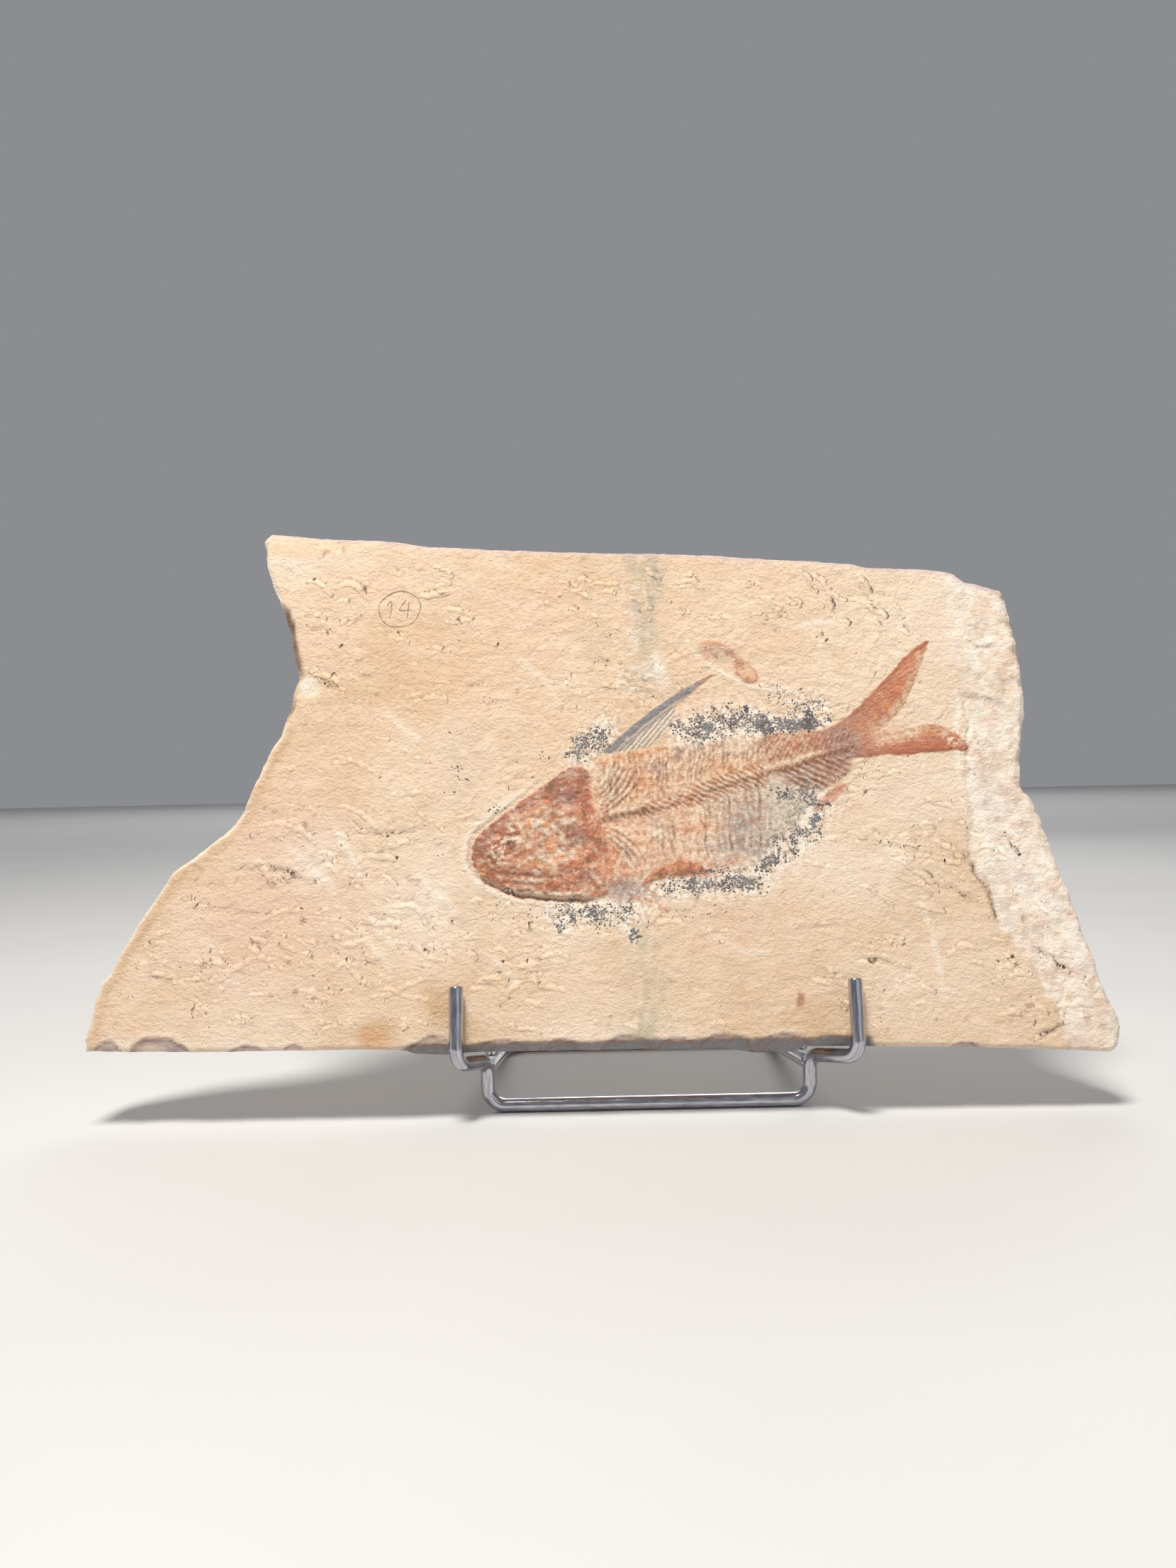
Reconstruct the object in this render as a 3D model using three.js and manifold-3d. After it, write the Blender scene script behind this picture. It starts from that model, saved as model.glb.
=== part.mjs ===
// Fossil fish slab on a bent-wire display stand.
// Millimetres, +Z up, +X to the viewer's right, +Y away from the viewer.
// The slab leans back on the stand. Its own frame is used for most of its shape:
// across runs to the right, up runs up its front face, and out is towards the viewer.

import * as THREE from 'three';
import { mergeVertices } from 'three/addons/utils/BufferGeometryUtils.js';
import Module from 'manifold-3d';

const wasm = await Module();
wasm.setup();

// ---------------------------------------------------------------- driving dimensions

const DEGREE = Math.PI / 180;
const LEAN = 10 * DEGREE; // slab's lean back from upright
const SEAT_HEIGHT = 20.3; // table to the slab's front lower edge

const SLAB_THICKNESS = 15;
const EDGE_CHAMFER = 1.0; // broken-back arris all round the slab
const LAYER_STEP = 0.8; // depth of the lower bedding layer at the right
const FISH_RELIEF = 0.5; // how far the fossil stands proud
const FISH_ROOT = 1.0; // how far the fossil's solid reaches into the stone

const WIRE_RADIUS = 2.1;
const WIRE_SIDES = 12;
const GAP = 0.3; // clearance between touching pieces
const BEND_STEPS = 5;

const PRONG_LEFT = -42.5; // across position of each front prong
const PRONG_RIGHT = 73.2;
const PRONG_TOP = 19.5; // prong tip, up the slab's face
const PRONG_OUT = FISH_RELIEF + GAP + WIRE_RADIUS + 0.1; // wire centre in front of the face
const RUN_UP = -2.8; // centre of the runs under the slab
const HOOK_BEND = 4.6;

const LEG_LEFT = -34.8; // across position of each front leg
const LEG_RIGHT = 61.7;
const FOOT_Y = 12; // front foot bar, behind the slab's front edge
const LEG_BEND = 4.4;
const FOOT_BEND = 5.2;

const RAIL_START_HEIGHT = 12.4; // where the rails leave the backs of the legs
const REAR_Y = 92; // rear foot bar
const REAR_BEND = 9;

const REST_FOOT_Y = 27; // where the back rest stands on the rails
const REST_UP = 95; // height of its top bar, up the slab
const REST_BEND = 10;

// ---------------------------------------------------------------- slab outline

// Broken edge of the slab, anticlockwise from the lower left corner: [across, up].
const BOTTOM_EDGE = [
  [-150.8, 2.9], [-135, 2.4], [-118, 2.0], [-90, 1.9], [-66, 1.7], [-57.5, 1.2], [-55.5, 0.1],
  [-46, -0.4], [-44.6, 0.2], [-20, 0.2], [10, 0.1], [36, -0.1], [43.5, -1.5], [56, -1.6],
  [58.6, -0.1], [76, -0.2], [95, -0.7], [118, -1.6], [134, -2.4], [147, -3.3],
];
const RIGHT_EDGE = [
  [149.6, -2], [151.2, 4], [149.6, 9.6], [147.4, 14.4], [145.9, 19.5], [144.5, 25.5],
  [142.5, 32.5], [140, 42], [137, 52], [134.4, 60], [133, 66], [130.9, 71.4], [127.8, 75.4],
  [128.5, 84], [129.5, 91], [131, 97.5], [130.8, 110], [130, 120], [129, 127], [127.6, 134.3],
];
const TOP_EDGE = [
  [126, 137], [115, 140.2], [111.8, 142.9], [105, 144.2], [85, 145.4], [81.8, 146.6], [68, 148],
  [50, 149.2], [36, 150.7], [18, 151.5], [0, 152.2], [-15, 152.9], [-35, 154.2], [-50, 155.2],
  [-68, 158], [-85, 159.2], [-96, 160.7],
];
const LEFT_EDGE = [
  [-101.4, 161.2], [-103.6, 158.8], [-102.7, 155.5], [-102.2, 150], [-100.1, 144], [-97, 136],
  [-95, 129], [-93.6, 121], [-92.1, 114.8], [-93.7, 109.8], [-94.9, 103], [-96.3, 95.6],
  [-99, 92], [-100.7, 88.4], [-104.5, 79.5], [-107.4, 72.4], [-109.3, 69], [-113.2, 65.4],
  [-120, 60], [-127.4, 55], [-130.5, 50], [-134.6, 43.5], [-137.7, 39], [-142, 31.5],
  [-144.7, 25.8], [-147.4, 22], [-148.9, 17], [-149.9, 11], [-151.6, 6.4],
];
const OUTLINE = [...BOTTOM_EDGE, ...RIGHT_EDGE, ...TOP_EDGE, ...LEFT_EDGE];

// The line where the top bedding layer ends at the right, from the lower edge upwards.
const LAYER_LINE = [
  [137, -6], [133, 5], [126, 22], [117.5, 34], [115, 42], [111, 52], [110.5, 66], [111, 82],
  [112.5, 98], [109.5, 112], [108, 128], [109.5, 150],
];

// Edge of the fossil fish: lower side from snout to tail, then back along the upper side.
const FISH_UNDERSIDE = [
  [-38.5, 58], [-35, 51.5], [-27, 46], [-14, 43.6], [2, 43.2], [18, 46.5], [36, 50.5],
  [53, 57], [64, 67], [72, 78], [79, 86],
];
const FISH_LOWER_LOBE = [[90, 86.3], [110, 86.6], [109.5, 91.5], [98, 94.5]];
const FISH_UPPER_LOBE = [[86, 94], [93, 101], [98, 111], [102, 121]];
const FISH_BACK = [
  [91, 111.5], [81, 102.5], [72, 95], [58, 93], [40, 92], [20, 89], [4, 88], [-5, 84.5],
  [-15, 81], [-27, 72.5], [-36, 64],
];

// ---------------------------------------------------------------- shared geometry helpers

// A point given in the slab's frame, as a point of the stand's upright frame.
function onSlab(across, up, out) {
  return new THREE.Vector3(
    across,
    up * Math.sin(LEAN) - out * Math.cos(LEAN),
    SEAT_HEIGHT + up * Math.cos(LEAN) + out * Math.sin(LEAN),
  );
}

function solidFrom(geometry) {
  const bare = geometry.clone();
  bare.deleteAttribute('normal');
  bare.deleteAttribute('uv');
  const welded = mergeVertices(bare, 1e-4);
  return new wasm.Manifold(new wasm.Mesh({
    numProp: 3,
    vertProperties: new Float32Array(welded.attributes.position.array),
    triVerts: new Uint32Array(welded.index.array),
  }));
}

function geometryFrom(solid) {
  const mesh = solid.getMesh();
  const geometry = new THREE.BufferGeometry();
  geometry.setAttribute('position', new THREE.BufferAttribute(mesh.vertProperties, 3));
  geometry.setIndex(new THREE.BufferAttribute(mesh.triVerts, 1));
  geometry.computeVertexNormals();
  return geometry;
}

// A flat plate of the given outline between two distances out from the slab's face.
function plate(points, innerOut, outerOut) {
  const shape = new THREE.Shape(points.map(([x, y]) => new THREE.Vector2(x, y)));
  const geometry = new THREE.ExtrudeGeometry(shape, {
    depth: outerOut - innerOut,
    bevelEnabled: false,
  });
  geometry.translate(0, 0, innerOut);
  return geometry;
}

// ---------------------------------------------------------------- slab

function fishOutline() {
  const curves = [
    new THREE.CatmullRomCurve3(flat([...FISH_UNDERSIDE, ...FISH_LOWER_LOBE])).getPoints(30),
    new THREE.CatmullRomCurve3(flat([...FISH_UPPER_LOBE, ...FISH_BACK])).getPoints(30),
  ];
  return curves.flat().map((point) => [point.x, point.y]);
}

function flat(points) {
  return points.map(([x, y]) => new THREE.Vector3(x, y, 0));
}

function slabGeometry() {
  const shape = new THREE.Shape(OUTLINE.map(([x, y]) => new THREE.Vector2(x, y)));
  const body = new THREE.ExtrudeGeometry(shape, {
    depth: SLAB_THICKNESS - 2 * EDGE_CHAMFER,
    bevelEnabled: true,
    bevelThickness: EDGE_CHAMFER,
    bevelSize: EDGE_CHAMFER,
    bevelOffset: -EDGE_CHAMFER,
    bevelSegments: 1,
  });
  body.translate(0, 0, EDGE_CHAMFER - SLAB_THICKNESS);

  const beyond = 20;
  const lowerLayer = [...LAYER_LINE, [170, 160], [170, -beyond], [137, -beyond]].reverse();
  const missingLayer = plate(lowerLayer, -LAYER_STEP, beyond);
  const fish = plate(fishOutline(), -FISH_ROOT, FISH_RELIEF);

  const solid = solidFrom(body).subtract(solidFrom(missingLayer)).add(solidFrom(fish));
  return geometryFrom(solid);
}

// ---------------------------------------------------------------- bent wire

// A wire's centreline: straight between its corners and a circular arc at each one.
// Its stations stand at the ends and along the arcs, so straight stretches stay plain.
class BentWire extends THREE.Curve {
  constructor(corners, radii) {
    super();
    this.stations = [];
    const last = corners.length - 1;
    this.addStation(corners[0], corners[1].clone().sub(corners[0]));
    for (let i = 1; i < last; i += 1) {
      this.addBend(corners[i - 1], corners[i], corners[i + 1], radii[i - 1]);
    }
    this.addStation(corners[last], corners[last].clone().sub(corners[last - 1]));
  }

  addStation(point, direction) {
    this.stations.push({ point: point.clone(), direction: direction.clone().normalize() });
  }

  addBend(before, corner, after, radius) {
    const back = before.clone().sub(corner).normalize();
    const on = after.clone().sub(corner).normalize();
    const half = back.angleTo(on) / 2;
    const middle = back.clone().add(on).normalize();
    const centre = corner.clone().addScaledVector(middle, radius / Math.sin(half));
    const start = corner.clone().addScaledVector(back, radius / Math.tan(half)).sub(centre);
    const axis = back.clone().cross(on).normalize().negate();
    const sweep = Math.PI - 2 * half;
    for (let k = 0; k <= BEND_STEPS; k += 1) {
      const turn = (sweep * k) / BEND_STEPS;
      const spoke = start.clone().applyAxisAngle(axis, turn);
      this.addStation(centre.clone().add(spoke), axis.clone().cross(spoke));
    }
  }

  station(t) {
    return this.stations[Math.round(t * (this.stations.length - 1))];
  }

  getPoint(t, target = new THREE.Vector3()) {
    return target.copy(this.station(t).point);
  }

  getPointAt(t, target) {
    return this.getPoint(t, target);
  }

  getTangent(t, target = new THREE.Vector3()) {
    return target.copy(this.station(t).direction);
  }

  getTangentAt(t, target) {
    return this.getTangent(t, target);
  }
}

// A wire of many-sided section, turned so that one flat faces the table at mid length.
function wireGeometry(corners, radii) {
  const path = new BentWire(corners, radii);
  const steps = path.stations.length - 1;
  const frames = path.computeFrenetFrames(steps, false);
  const mid = Math.floor(steps / 2);
  const down = Math.atan2(-frames.binormals[mid].z, -frames.normals[mid].z);
  const cornerRadius = WIRE_RADIUS / Math.cos(Math.PI / WIRE_SIDES);
  const section = [];
  for (let i = 0; i < WIRE_SIDES; i += 1) {
    const angle = down + ((i + 0.5) * 2 * Math.PI) / WIRE_SIDES;
    section.push(new THREE.Vector2(Math.cos(angle), Math.sin(angle)).multiplyScalar(cornerRadius));
  }
  return new THREE.ExtrudeGeometry(new THREE.Shape(section), {
    steps,
    bevelEnabled: false,
    extrudePath: path,
  });
}

// Where the run under the slab meets the top of a leg.
function legTop(across) {
  const out = (RUN_UP * Math.sin(LEAN) - FOOT_Y) / Math.cos(LEAN);
  return onSlab(across, RUN_UP, out);
}

function hookWireGeometry() {
  const corners = [
    onSlab(PRONG_LEFT, PRONG_TOP, PRONG_OUT),
    onSlab(PRONG_LEFT, RUN_UP, PRONG_OUT),
    legTop(LEG_LEFT),
    new THREE.Vector3(LEG_LEFT, FOOT_Y, WIRE_RADIUS),
    new THREE.Vector3(LEG_RIGHT, FOOT_Y, WIRE_RADIUS),
    legTop(LEG_RIGHT),
    onSlab(PRONG_RIGHT, RUN_UP, PRONG_OUT),
    onSlab(PRONG_RIGHT, PRONG_TOP, PRONG_OUT),
  ];
  return wireGeometry(corners, [HOOK_BEND, LEG_BEND, FOOT_BEND, FOOT_BEND, LEG_BEND, HOOK_BEND]);
}

// Front end of the rails, just behind the legs.
const RAIL_START_Y = FOOT_Y + WIRE_RADIUS + GAP + 0.5;

function railHeight(y) {
  const fall = (RAIL_START_HEIGHT - WIRE_RADIUS) / (REAR_Y - RAIL_START_Y);
  return RAIL_START_HEIGHT - fall * (y - RAIL_START_Y);
}

function rearWireGeometry() {
  const corners = [
    new THREE.Vector3(LEG_LEFT, RAIL_START_Y, RAIL_START_HEIGHT),
    new THREE.Vector3(LEG_LEFT, REAR_Y, WIRE_RADIUS),
    new THREE.Vector3(LEG_RIGHT, REAR_Y, WIRE_RADIUS),
    new THREE.Vector3(LEG_RIGHT, RAIL_START_Y, RAIL_START_HEIGHT),
  ];
  return wireGeometry(corners, [REAR_BEND, REAR_BEND]);
}

function backRestGeometry() {
  const topOut = -SLAB_THICKNESS - GAP - WIRE_RADIUS - 0.1;
  const footHeight = railHeight(REST_FOOT_Y) + WIRE_RADIUS + GAP + 0.4;
  const corners = [
    new THREE.Vector3(LEG_LEFT, REST_FOOT_Y, footHeight),
    onSlab(LEG_LEFT, REST_UP, topOut),
    onSlab(LEG_RIGHT, REST_UP, topOut),
    new THREE.Vector3(LEG_RIGHT, REST_FOOT_Y, footHeight),
  ];
  return wireGeometry(corners, [REST_BEND, REST_BEND]);
}

// ---------------------------------------------------------------- materials and assembly

const limestone = new THREE.MeshStandardMaterial({ color: 0xdcc3a0, roughness: 0.92, metalness: 0 });
const chrome = () => new THREE.MeshStandardMaterial({ color: 0xc9c9cf, roughness: 0.16, metalness: 1 });

const slab = new THREE.Mesh(slabGeometry(), limestone);
slab.name = 'slab';
slab.rotation.x = Math.PI / 2 - LEAN;
slab.position.z = SEAT_HEIGHT;

const hookWire = new THREE.Mesh(hookWireGeometry(), chrome());
hookWire.name = 'hook_wire';

const rearWire = new THREE.Mesh(rearWireGeometry(), chrome());
rearWire.name = 'rear_wire';

const backRest = new THREE.Mesh(backRestGeometry(), chrome());
backRest.name = 'back_rest';

const fossilSlab = new THREE.Group();
fossilSlab.add(slab, hookWire, rearWire, backRest);

// The origin stands on the table under the middle of the whole object.
fossilSlab.updateMatrixWorld(true);
const extent = new THREE.Box3().setFromObject(fossilSlab, true);
const centre = extent.getCenter(new THREE.Vector3());
fossilSlab.position.set(-centre.x, -centre.y, -extent.min.z);

export default fossilSlab;
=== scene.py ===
import math

import bpy
import numpy as np
from bpy.props import FloatProperty
from bpy.props import FloatVectorProperty
from bpy.props import IntProperty
from bpy.props import PointerProperty
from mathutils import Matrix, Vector


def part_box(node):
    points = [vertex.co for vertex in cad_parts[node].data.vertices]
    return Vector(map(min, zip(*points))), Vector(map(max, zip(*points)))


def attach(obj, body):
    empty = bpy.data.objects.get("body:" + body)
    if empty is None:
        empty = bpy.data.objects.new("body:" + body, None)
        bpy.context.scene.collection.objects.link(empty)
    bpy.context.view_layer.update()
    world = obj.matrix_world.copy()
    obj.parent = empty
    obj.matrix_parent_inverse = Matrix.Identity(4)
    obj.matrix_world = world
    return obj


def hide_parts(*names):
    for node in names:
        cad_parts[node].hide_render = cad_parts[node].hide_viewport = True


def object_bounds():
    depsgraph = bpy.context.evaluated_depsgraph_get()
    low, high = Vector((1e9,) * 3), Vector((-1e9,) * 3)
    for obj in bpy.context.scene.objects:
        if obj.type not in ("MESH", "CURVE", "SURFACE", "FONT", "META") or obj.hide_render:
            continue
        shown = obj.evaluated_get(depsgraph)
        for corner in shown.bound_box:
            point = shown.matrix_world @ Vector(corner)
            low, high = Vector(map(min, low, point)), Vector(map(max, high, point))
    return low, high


bl_info = {
    "name": "Fossil fish slab",
    "version": (1, 0, 0),
    "blender": (4, 5, 0),
    "location": "View3D > Sidebar > Fossil",
    "description": "Limestone slab with a fossil fish and mineral dendrites, on a bent-wire stand",
    "category": "Add Mesh",
}

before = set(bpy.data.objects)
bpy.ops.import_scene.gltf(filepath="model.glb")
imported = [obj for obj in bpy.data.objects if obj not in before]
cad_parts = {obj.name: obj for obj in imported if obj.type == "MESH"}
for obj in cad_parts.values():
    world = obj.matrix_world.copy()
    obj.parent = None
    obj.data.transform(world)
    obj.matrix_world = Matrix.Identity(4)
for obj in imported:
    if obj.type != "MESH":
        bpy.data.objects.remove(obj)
CAD_LOW, CAD_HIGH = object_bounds()

# ---------------------------------------------------------------- placing
# Shapes are worked out in millimetres in the slab's own directions: across runs to the
# right, up runs up its front face and out stands off the face towards the viewer.

MM = 0.001
LEAN = math.radians(10.0)
SEAT_HEIGHT = 20.3
ACROSS_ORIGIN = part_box("slab")[0].x / MM + 151.6
DEPTH_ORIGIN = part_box("rear_wire")[1].y / MM - 94.1


def on_slab(across, up, out):
    """Points in metres of slab places in millimetres: up leans back from the vertical by the
    lean angle, out is square to the face, and the lower front edge sits at the seat height."""
    x = ACROSS_ORIGIN + across
    y = DEPTH_ORIGIN + up * math.sin(LEAN) - out * math.cos(LEAN)
    z = SEAT_HEIGHT + up * math.cos(LEAN) + out * math.sin(LEAN)
    return np.stack(np.broadcast_arrays(x, y, z), axis=-1) * MM


# ---------------------------------------------------------------- slab outline
# The slab's four broken edges: [across, up].

BOTTOM_EDGE = [
    [-150.8, 2.9], [-135, 2.4], [-118, 2.0], [-90, 1.9], [-66, 1.7], [-57.5, 1.2],
    [-55.5, 0.1], [-46, -0.4], [-44.6, 0.2], [-20, 0.2], [10, 0.1], [36, -0.1],
    [43.5, -1.5], [56, -1.6], [58.6, -0.1], [76, -0.2], [95, -0.7], [118, -1.6],
    [134, -2.4], [147, -3.3],
]
RIGHT_EDGE = [
    [147, -3.3], [149.6, -2], [151.2, 4], [149.6, 9.6], [147.4, 14.4], [145.9, 19.5],
    [144.5, 25.5], [142.5, 32.5], [140, 42], [137, 52], [134.4, 60], [133, 66],
    [130.9, 71.4], [127.8, 75.4], [128.5, 84], [129.5, 91], [131, 97.5], [130.8, 110],
    [130, 120], [129, 127], [127.6, 134.3],
]
TOP_EDGE = [
    [-101.4, 161.2], [-96, 160.7], [-85, 159.2], [-68, 158], [-50, 155.2], [-35, 154.2],
    [-15, 152.9], [0, 152.2], [18, 151.5], [36, 150.7], [50, 149.2], [68, 148],
    [81.8, 146.6], [85, 145.4], [105, 144.2], [111.8, 142.9], [115, 140.2], [126, 137],
    [127.6, 134.3],
]
LEFT_EDGE = [
    [-150.8, 2.9], [-151.6, 6.4], [-149.9, 11], [-148.9, 17], [-147.4, 22],
    [-144.7, 25.8], [-142, 31.5], [-137.7, 39], [-134.6, 43.5], [-130.5, 50],
    [-127.4, 55], [-120, 60], [-113.2, 65.4], [-109.3, 69], [-107.4, 72.4],
    [-104.5, 79.5], [-100.7, 88.4], [-99, 92], [-96.3, 95.6], [-94.9, 103],
    [-93.7, 109.8], [-92.1, 114.8], [-93.6, 121], [-95, 129], [-97, 136],
    [-100.1, 144], [-102.2, 150], [-102.7, 155.5], [-103.6, 158.8], [-101.4, 161.2],
]
THICKNESS = 15.0

# Where the top bedding layer ends at the right, from the lower edge upwards.
LAYER_LINE = [
    [137, -6], [133, 5], [126, 22], [117.5, 34], [115, 42], [111, 52], [110.5, 66],
    [111, 82], [112.5, 98], [109.5, 112], [108, 128], [109.5, 150],
]

# Cracks and flake lips on the face: their points, depth and half width.
CRACKS = [
    ([[-110, 54.5], [-104, 55], [-97, 55.5], [-92, 53.5], [-88, 50.5], [-83, 50.5]], 0.30, 0.8),
    ([[-76, 70], [-72, 66], [-66, 65], [-58, 64.5], [-52, 67]], 0.30, 0.8),
    ([[-105, 33.5], [-100, 31.5]], 0.26, 0.7),
    ([[-137, 27], [-131, 23], [-120, 22.5], [-113, 23]], 0.22, 0.7),
    ([[-115, 34], [-108, 34]], 0.22, 0.7),
    ([[-70, 27], [-65, 25]], 0.22, 0.7),
    ([[-88.6, 129.2], [-86.6, 129.4], [-82, 127.5]], 0.32, 0.8),
    ([[-73, 113.5], [-68, 113.5]], 0.22, 0.6),
    ([[-41, 110], [-33, 110]], 0.28, 0.7),
    ([[-33, 104], [-29, 105]], 0.25, 0.6),
    ([[64, 144], [66, 141], [69, 136]], 0.24, 0.7),
    ([[81, 143], [83, 138], [86, 133]], 0.26, 0.7),
    ([[110, 104], [118, 102.5], [124, 101], [126, 98]], 0.36, 0.8),
    ([[117, 34], [116, 42], [113, 47], [110, 52], [106, 58]], 0.42, 0.8),
    ([[100, 45], [104, 45], [108, 42], [112, 41]], 0.32, 0.7),
    ([[125, 1], [129, 2.5], [133, 5]], 0.60, 0.8),
    ([[-85.6, 113.2], [-84, 112.4], [-81, 110.5], [-77, 109.5]], 0.45, 0.8),
    ([[-60, 118], [-54, 116]], 0.18, 0.6),
    ([[-120, 42], [-112, 44], [-104, 41], [-98, 42]], 0.20, 0.7),
    ([[-92, 73], [-86, 72], [-82, 69]], 0.18, 0.6),
    ([[-60, 90], [-55, 86], [-49, 85]], 0.18, 0.6),
    ([[-50, 40], [-43, 37], [-37, 37]], 0.18, 0.6),
    ([[-84, 20], [-77, 18], [-70, 18]], 0.18, 0.6),
    ([[-30, 25], [-22, 22], [-15, 23]], 0.16, 0.6),
    ([[55, 33], [62, 35], [70, 34]], 0.18, 0.7),
    ([[75, 25], [83, 24], [90, 21]], 0.18, 0.6),
    ([[83, 60], [90, 57], [97, 56]], 0.18, 0.6),
    ([[96, 72], [101, 70], [106, 71]], 0.18, 0.6),
    ([[120, 62], [124, 57], [127, 50]], 0.30, 0.8),
    ([[124, 28], [131, 25], [137, 18]], 0.30, 0.8),
    ([[113, 122], [119, 118], [124, 119]], 0.30, 0.8),
    ([[60, 118], [66, 117], [72, 119]], 0.16, 0.6),
]

# Long pale ledges where one thin sheet laps over the next.
LEDGES = [
    [[-81, 71], [-75, 60], [-71.5, 52], [-67, 47]], [[-95, 63], [-86, 54.6], [-78, 47.3]],
    [[-55.5, 53], [-48, 46], [-42, 40.5]], [[-72.6, 41.6], [-69.2, 32.6], [-61.2, 24.7]],
    [[-71, 42], [-66, 36], [-61, 31]], [[-118, 36], [-112, 26], [-106, 19]],
    [[96, 46], [97, 34], [98.5, 22], [100, 12]], [[109, 74], [108.6, 88], [110.6, 98], [109, 108]],
    [[-66, 104], [-58, 96], [-52, 92]], [[60, 126], [70, 128], [78, 126]],
    [[-24, 118], [-16, 112], [-12, 104]],
    [[30, 34], [40, 28], [52, 27]], [[-36, 30], [-28, 24], [-22, 16]],
]

# Shell-shaped chips broken from the lower edge: left, right, top and depth.
CHIPS = [
    (-139.5, -119.5, 6.6, 1.4), (-149.5, -139, 5.6, 1.1), (-112, -97, 3.7, 0.8),
    (-95, -86, 3.4, 0.7), (-58, -41, 5.0, 0.8), (-39, -21, 4.1, 0.7), (-19, -7, 3.6, 0.5),
    (-2, 15, 4.3, 0.7), (15, 27, 3.7, 0.5), (27, 44, 4.3, 0.7), (43, 61, 3.9, 0.6),
    (99, 110, 0.6, 0.5),
]

# ---------------------------------------------------------------- fossil outlines

HEAD = [
    [-38, 58], [-37.2, 54.3], [-34.5, 51.2], [-30, 48.6], [-25, 46.7], [-20, 45.5],
    [-12, 44.8], [-2, 44.6], [2.2, 45.2], [1.6, 49], [2.8, 54], [3, 60], [0.4, 66],
    [-1.6, 72], [-2.4, 78], [-3, 83], [-5, 84.2], [-8.5, 84], [-15, 79.6], [-20, 76],
    [-27, 70.8], [-33, 66.6], [-36, 63.6], [-37.6, 61],
]
BODY = [
    [-1, 45], [2, 45], [10, 47], [14, 48.5], [20, 50], [30, 51], [40, 53], [48, 56], [55, 61],
    [60, 67], [65, 73], [70, 79], [76, 84.6], [80, 86.4], [80, 92.5], [72, 94.6], [66, 94],
    [58, 93.5], [48, 92.5], [36, 91], [24, 90], [12, 88.5], [2, 87.5], [-4, 84.5], [-3, 66],
]
TAIL = [
    [64, 85.6], [72, 84.4], [85, 85.7], [97, 86.2], [108, 86.6], [112.6, 86.6], [111.4, 89.5],
    [107, 93.2], [102, 95.4], [96, 94.2], [90, 93.2], [85, 94], [90, 97], [93.5, 101],
    [96.3, 106], [98.6, 111.5], [100.6, 116.5], [103.4, 122.6], [96, 117.4], [91, 112],
    [85, 105.6], [76, 97.4], [70, 93.8], [62, 92],
]
FIN_BLADE = [
    [1, 88.2], [5, 91.4], [11, 96.6], [19, 102.6], [28, 108.3], [37.6, 113], [33, 109.4],
    [27, 104.6], [20, 99.2], [13, 93.4], [8.5, 89.6], [5, 88],
]
FIN_WEB = [
    [4, 88], [10, 92], [18, 99], [23.5, 102], [24.5, 99], [21, 94.5], [17, 90.5], [12, 88.6],
]
ANAL_FIN = [
    [63, 68.4], [67.5, 69.6], [72.5, 73.2], [75.4, 77], [72.5, 77.6], [68.5, 74.6], [65, 71.4],
]
VENTRAL_BAND = [
    [11.6, 47], [15, 48.4], [20, 50.2], [27, 50.8], [33, 51.4], [30, 53.2], [25.5, 55.4],
    [20, 53.8], [14.6, 51.6],
]
HAEMAL_FAN = [[52, 80.5], [58, 77], [66, 75.2], [71, 77], [76, 81], [77, 84.6], [70, 85.6]]
SPINE = [
    [-2, 67.3], [0, 67.5], [5, 68.6], [12, 70], [20, 71.8], [27, 74], [34, 76.8], [42, 79.2],
    [50, 80.8], [58, 82.6], [66, 85.2], [73, 87.2], [79, 88.6], [84, 89.6],
]
SECOND_FOSSIL = [[42.5, 116], [45, 116.6], [49, 112.6], [49.6, 109.6], [46.5, 108.6], [43, 111.4]]
SECOND_ARC = [[31.5, 120.6], [34, 122.2], [38.5, 121.6], [42, 119.8]]
SECOND_VEIN = [[28, 121.6], [32, 117.6], [37, 113.5], [45, 108.3], [55, 106.3]]

# ---------------------------------------------------------------- noise and line helpers


def ramp(low, high, value):
    """Smooth step: nought below low, one above high, and 3x^2 - 2x^3 between."""
    share = np.clip((value - low) / (high - low), 0.0, 1.0)
    return share * share * (3.0 - 2.0 * share)


def lattice_noise(x, y, seed):
    """Smooth noise from -1 to 1: seeded values on a whole-number grid, blended between the
    four nearest with 6x^5 - 15x^4 + 10x^3."""
    table = np.random.default_rng(seed).uniform(-1.0, 1.0, (256, 256))
    column = np.floor(x).astype(int)
    row = np.floor(y).astype(int)
    fx = x - column
    fy = y - row
    fx = fx * fx * fx * (fx * (fx * 6.0 - 15.0) + 10.0)
    fy = fy * fy * fy * (fy * (fy * 6.0 - 15.0) + 10.0)
    low = table[row % 256, column % 256] * (1 - fx) + table[row % 256, (column + 1) % 256] * fx
    row = row + 1
    high = table[row % 256, column % 256] * (1 - fx) + table[row % 256, (column + 1) % 256] * fx
    return low * (1 - fy) + high * fy


def rough(x, y, seed, octaves=3):
    """Broken noise from about -1 to 1: octaves of lattice noise, each twice as fine and about
    half as strong as the one before."""
    total = np.zeros(np.broadcast(x, y).shape)
    size = 1.0
    scale = 1.0
    weight = 0.0
    for octave in range(octaves):
        total += size * lattice_noise(x * scale + 17.3 * octave, y * scale + 9.1 * octave, seed + octave)
        weight += size
        size *= 0.52
        scale *= 2.03
    return total / weight * 1.5


def turned(across, up, degrees):
    """Coordinates along and square to a direction at the given angle above the horizontal."""
    angle = math.radians(degrees)
    along = across * math.cos(angle) + up * math.sin(angle)
    square = up * math.cos(angle) - across * math.sin(angle)
    return along, square


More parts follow.
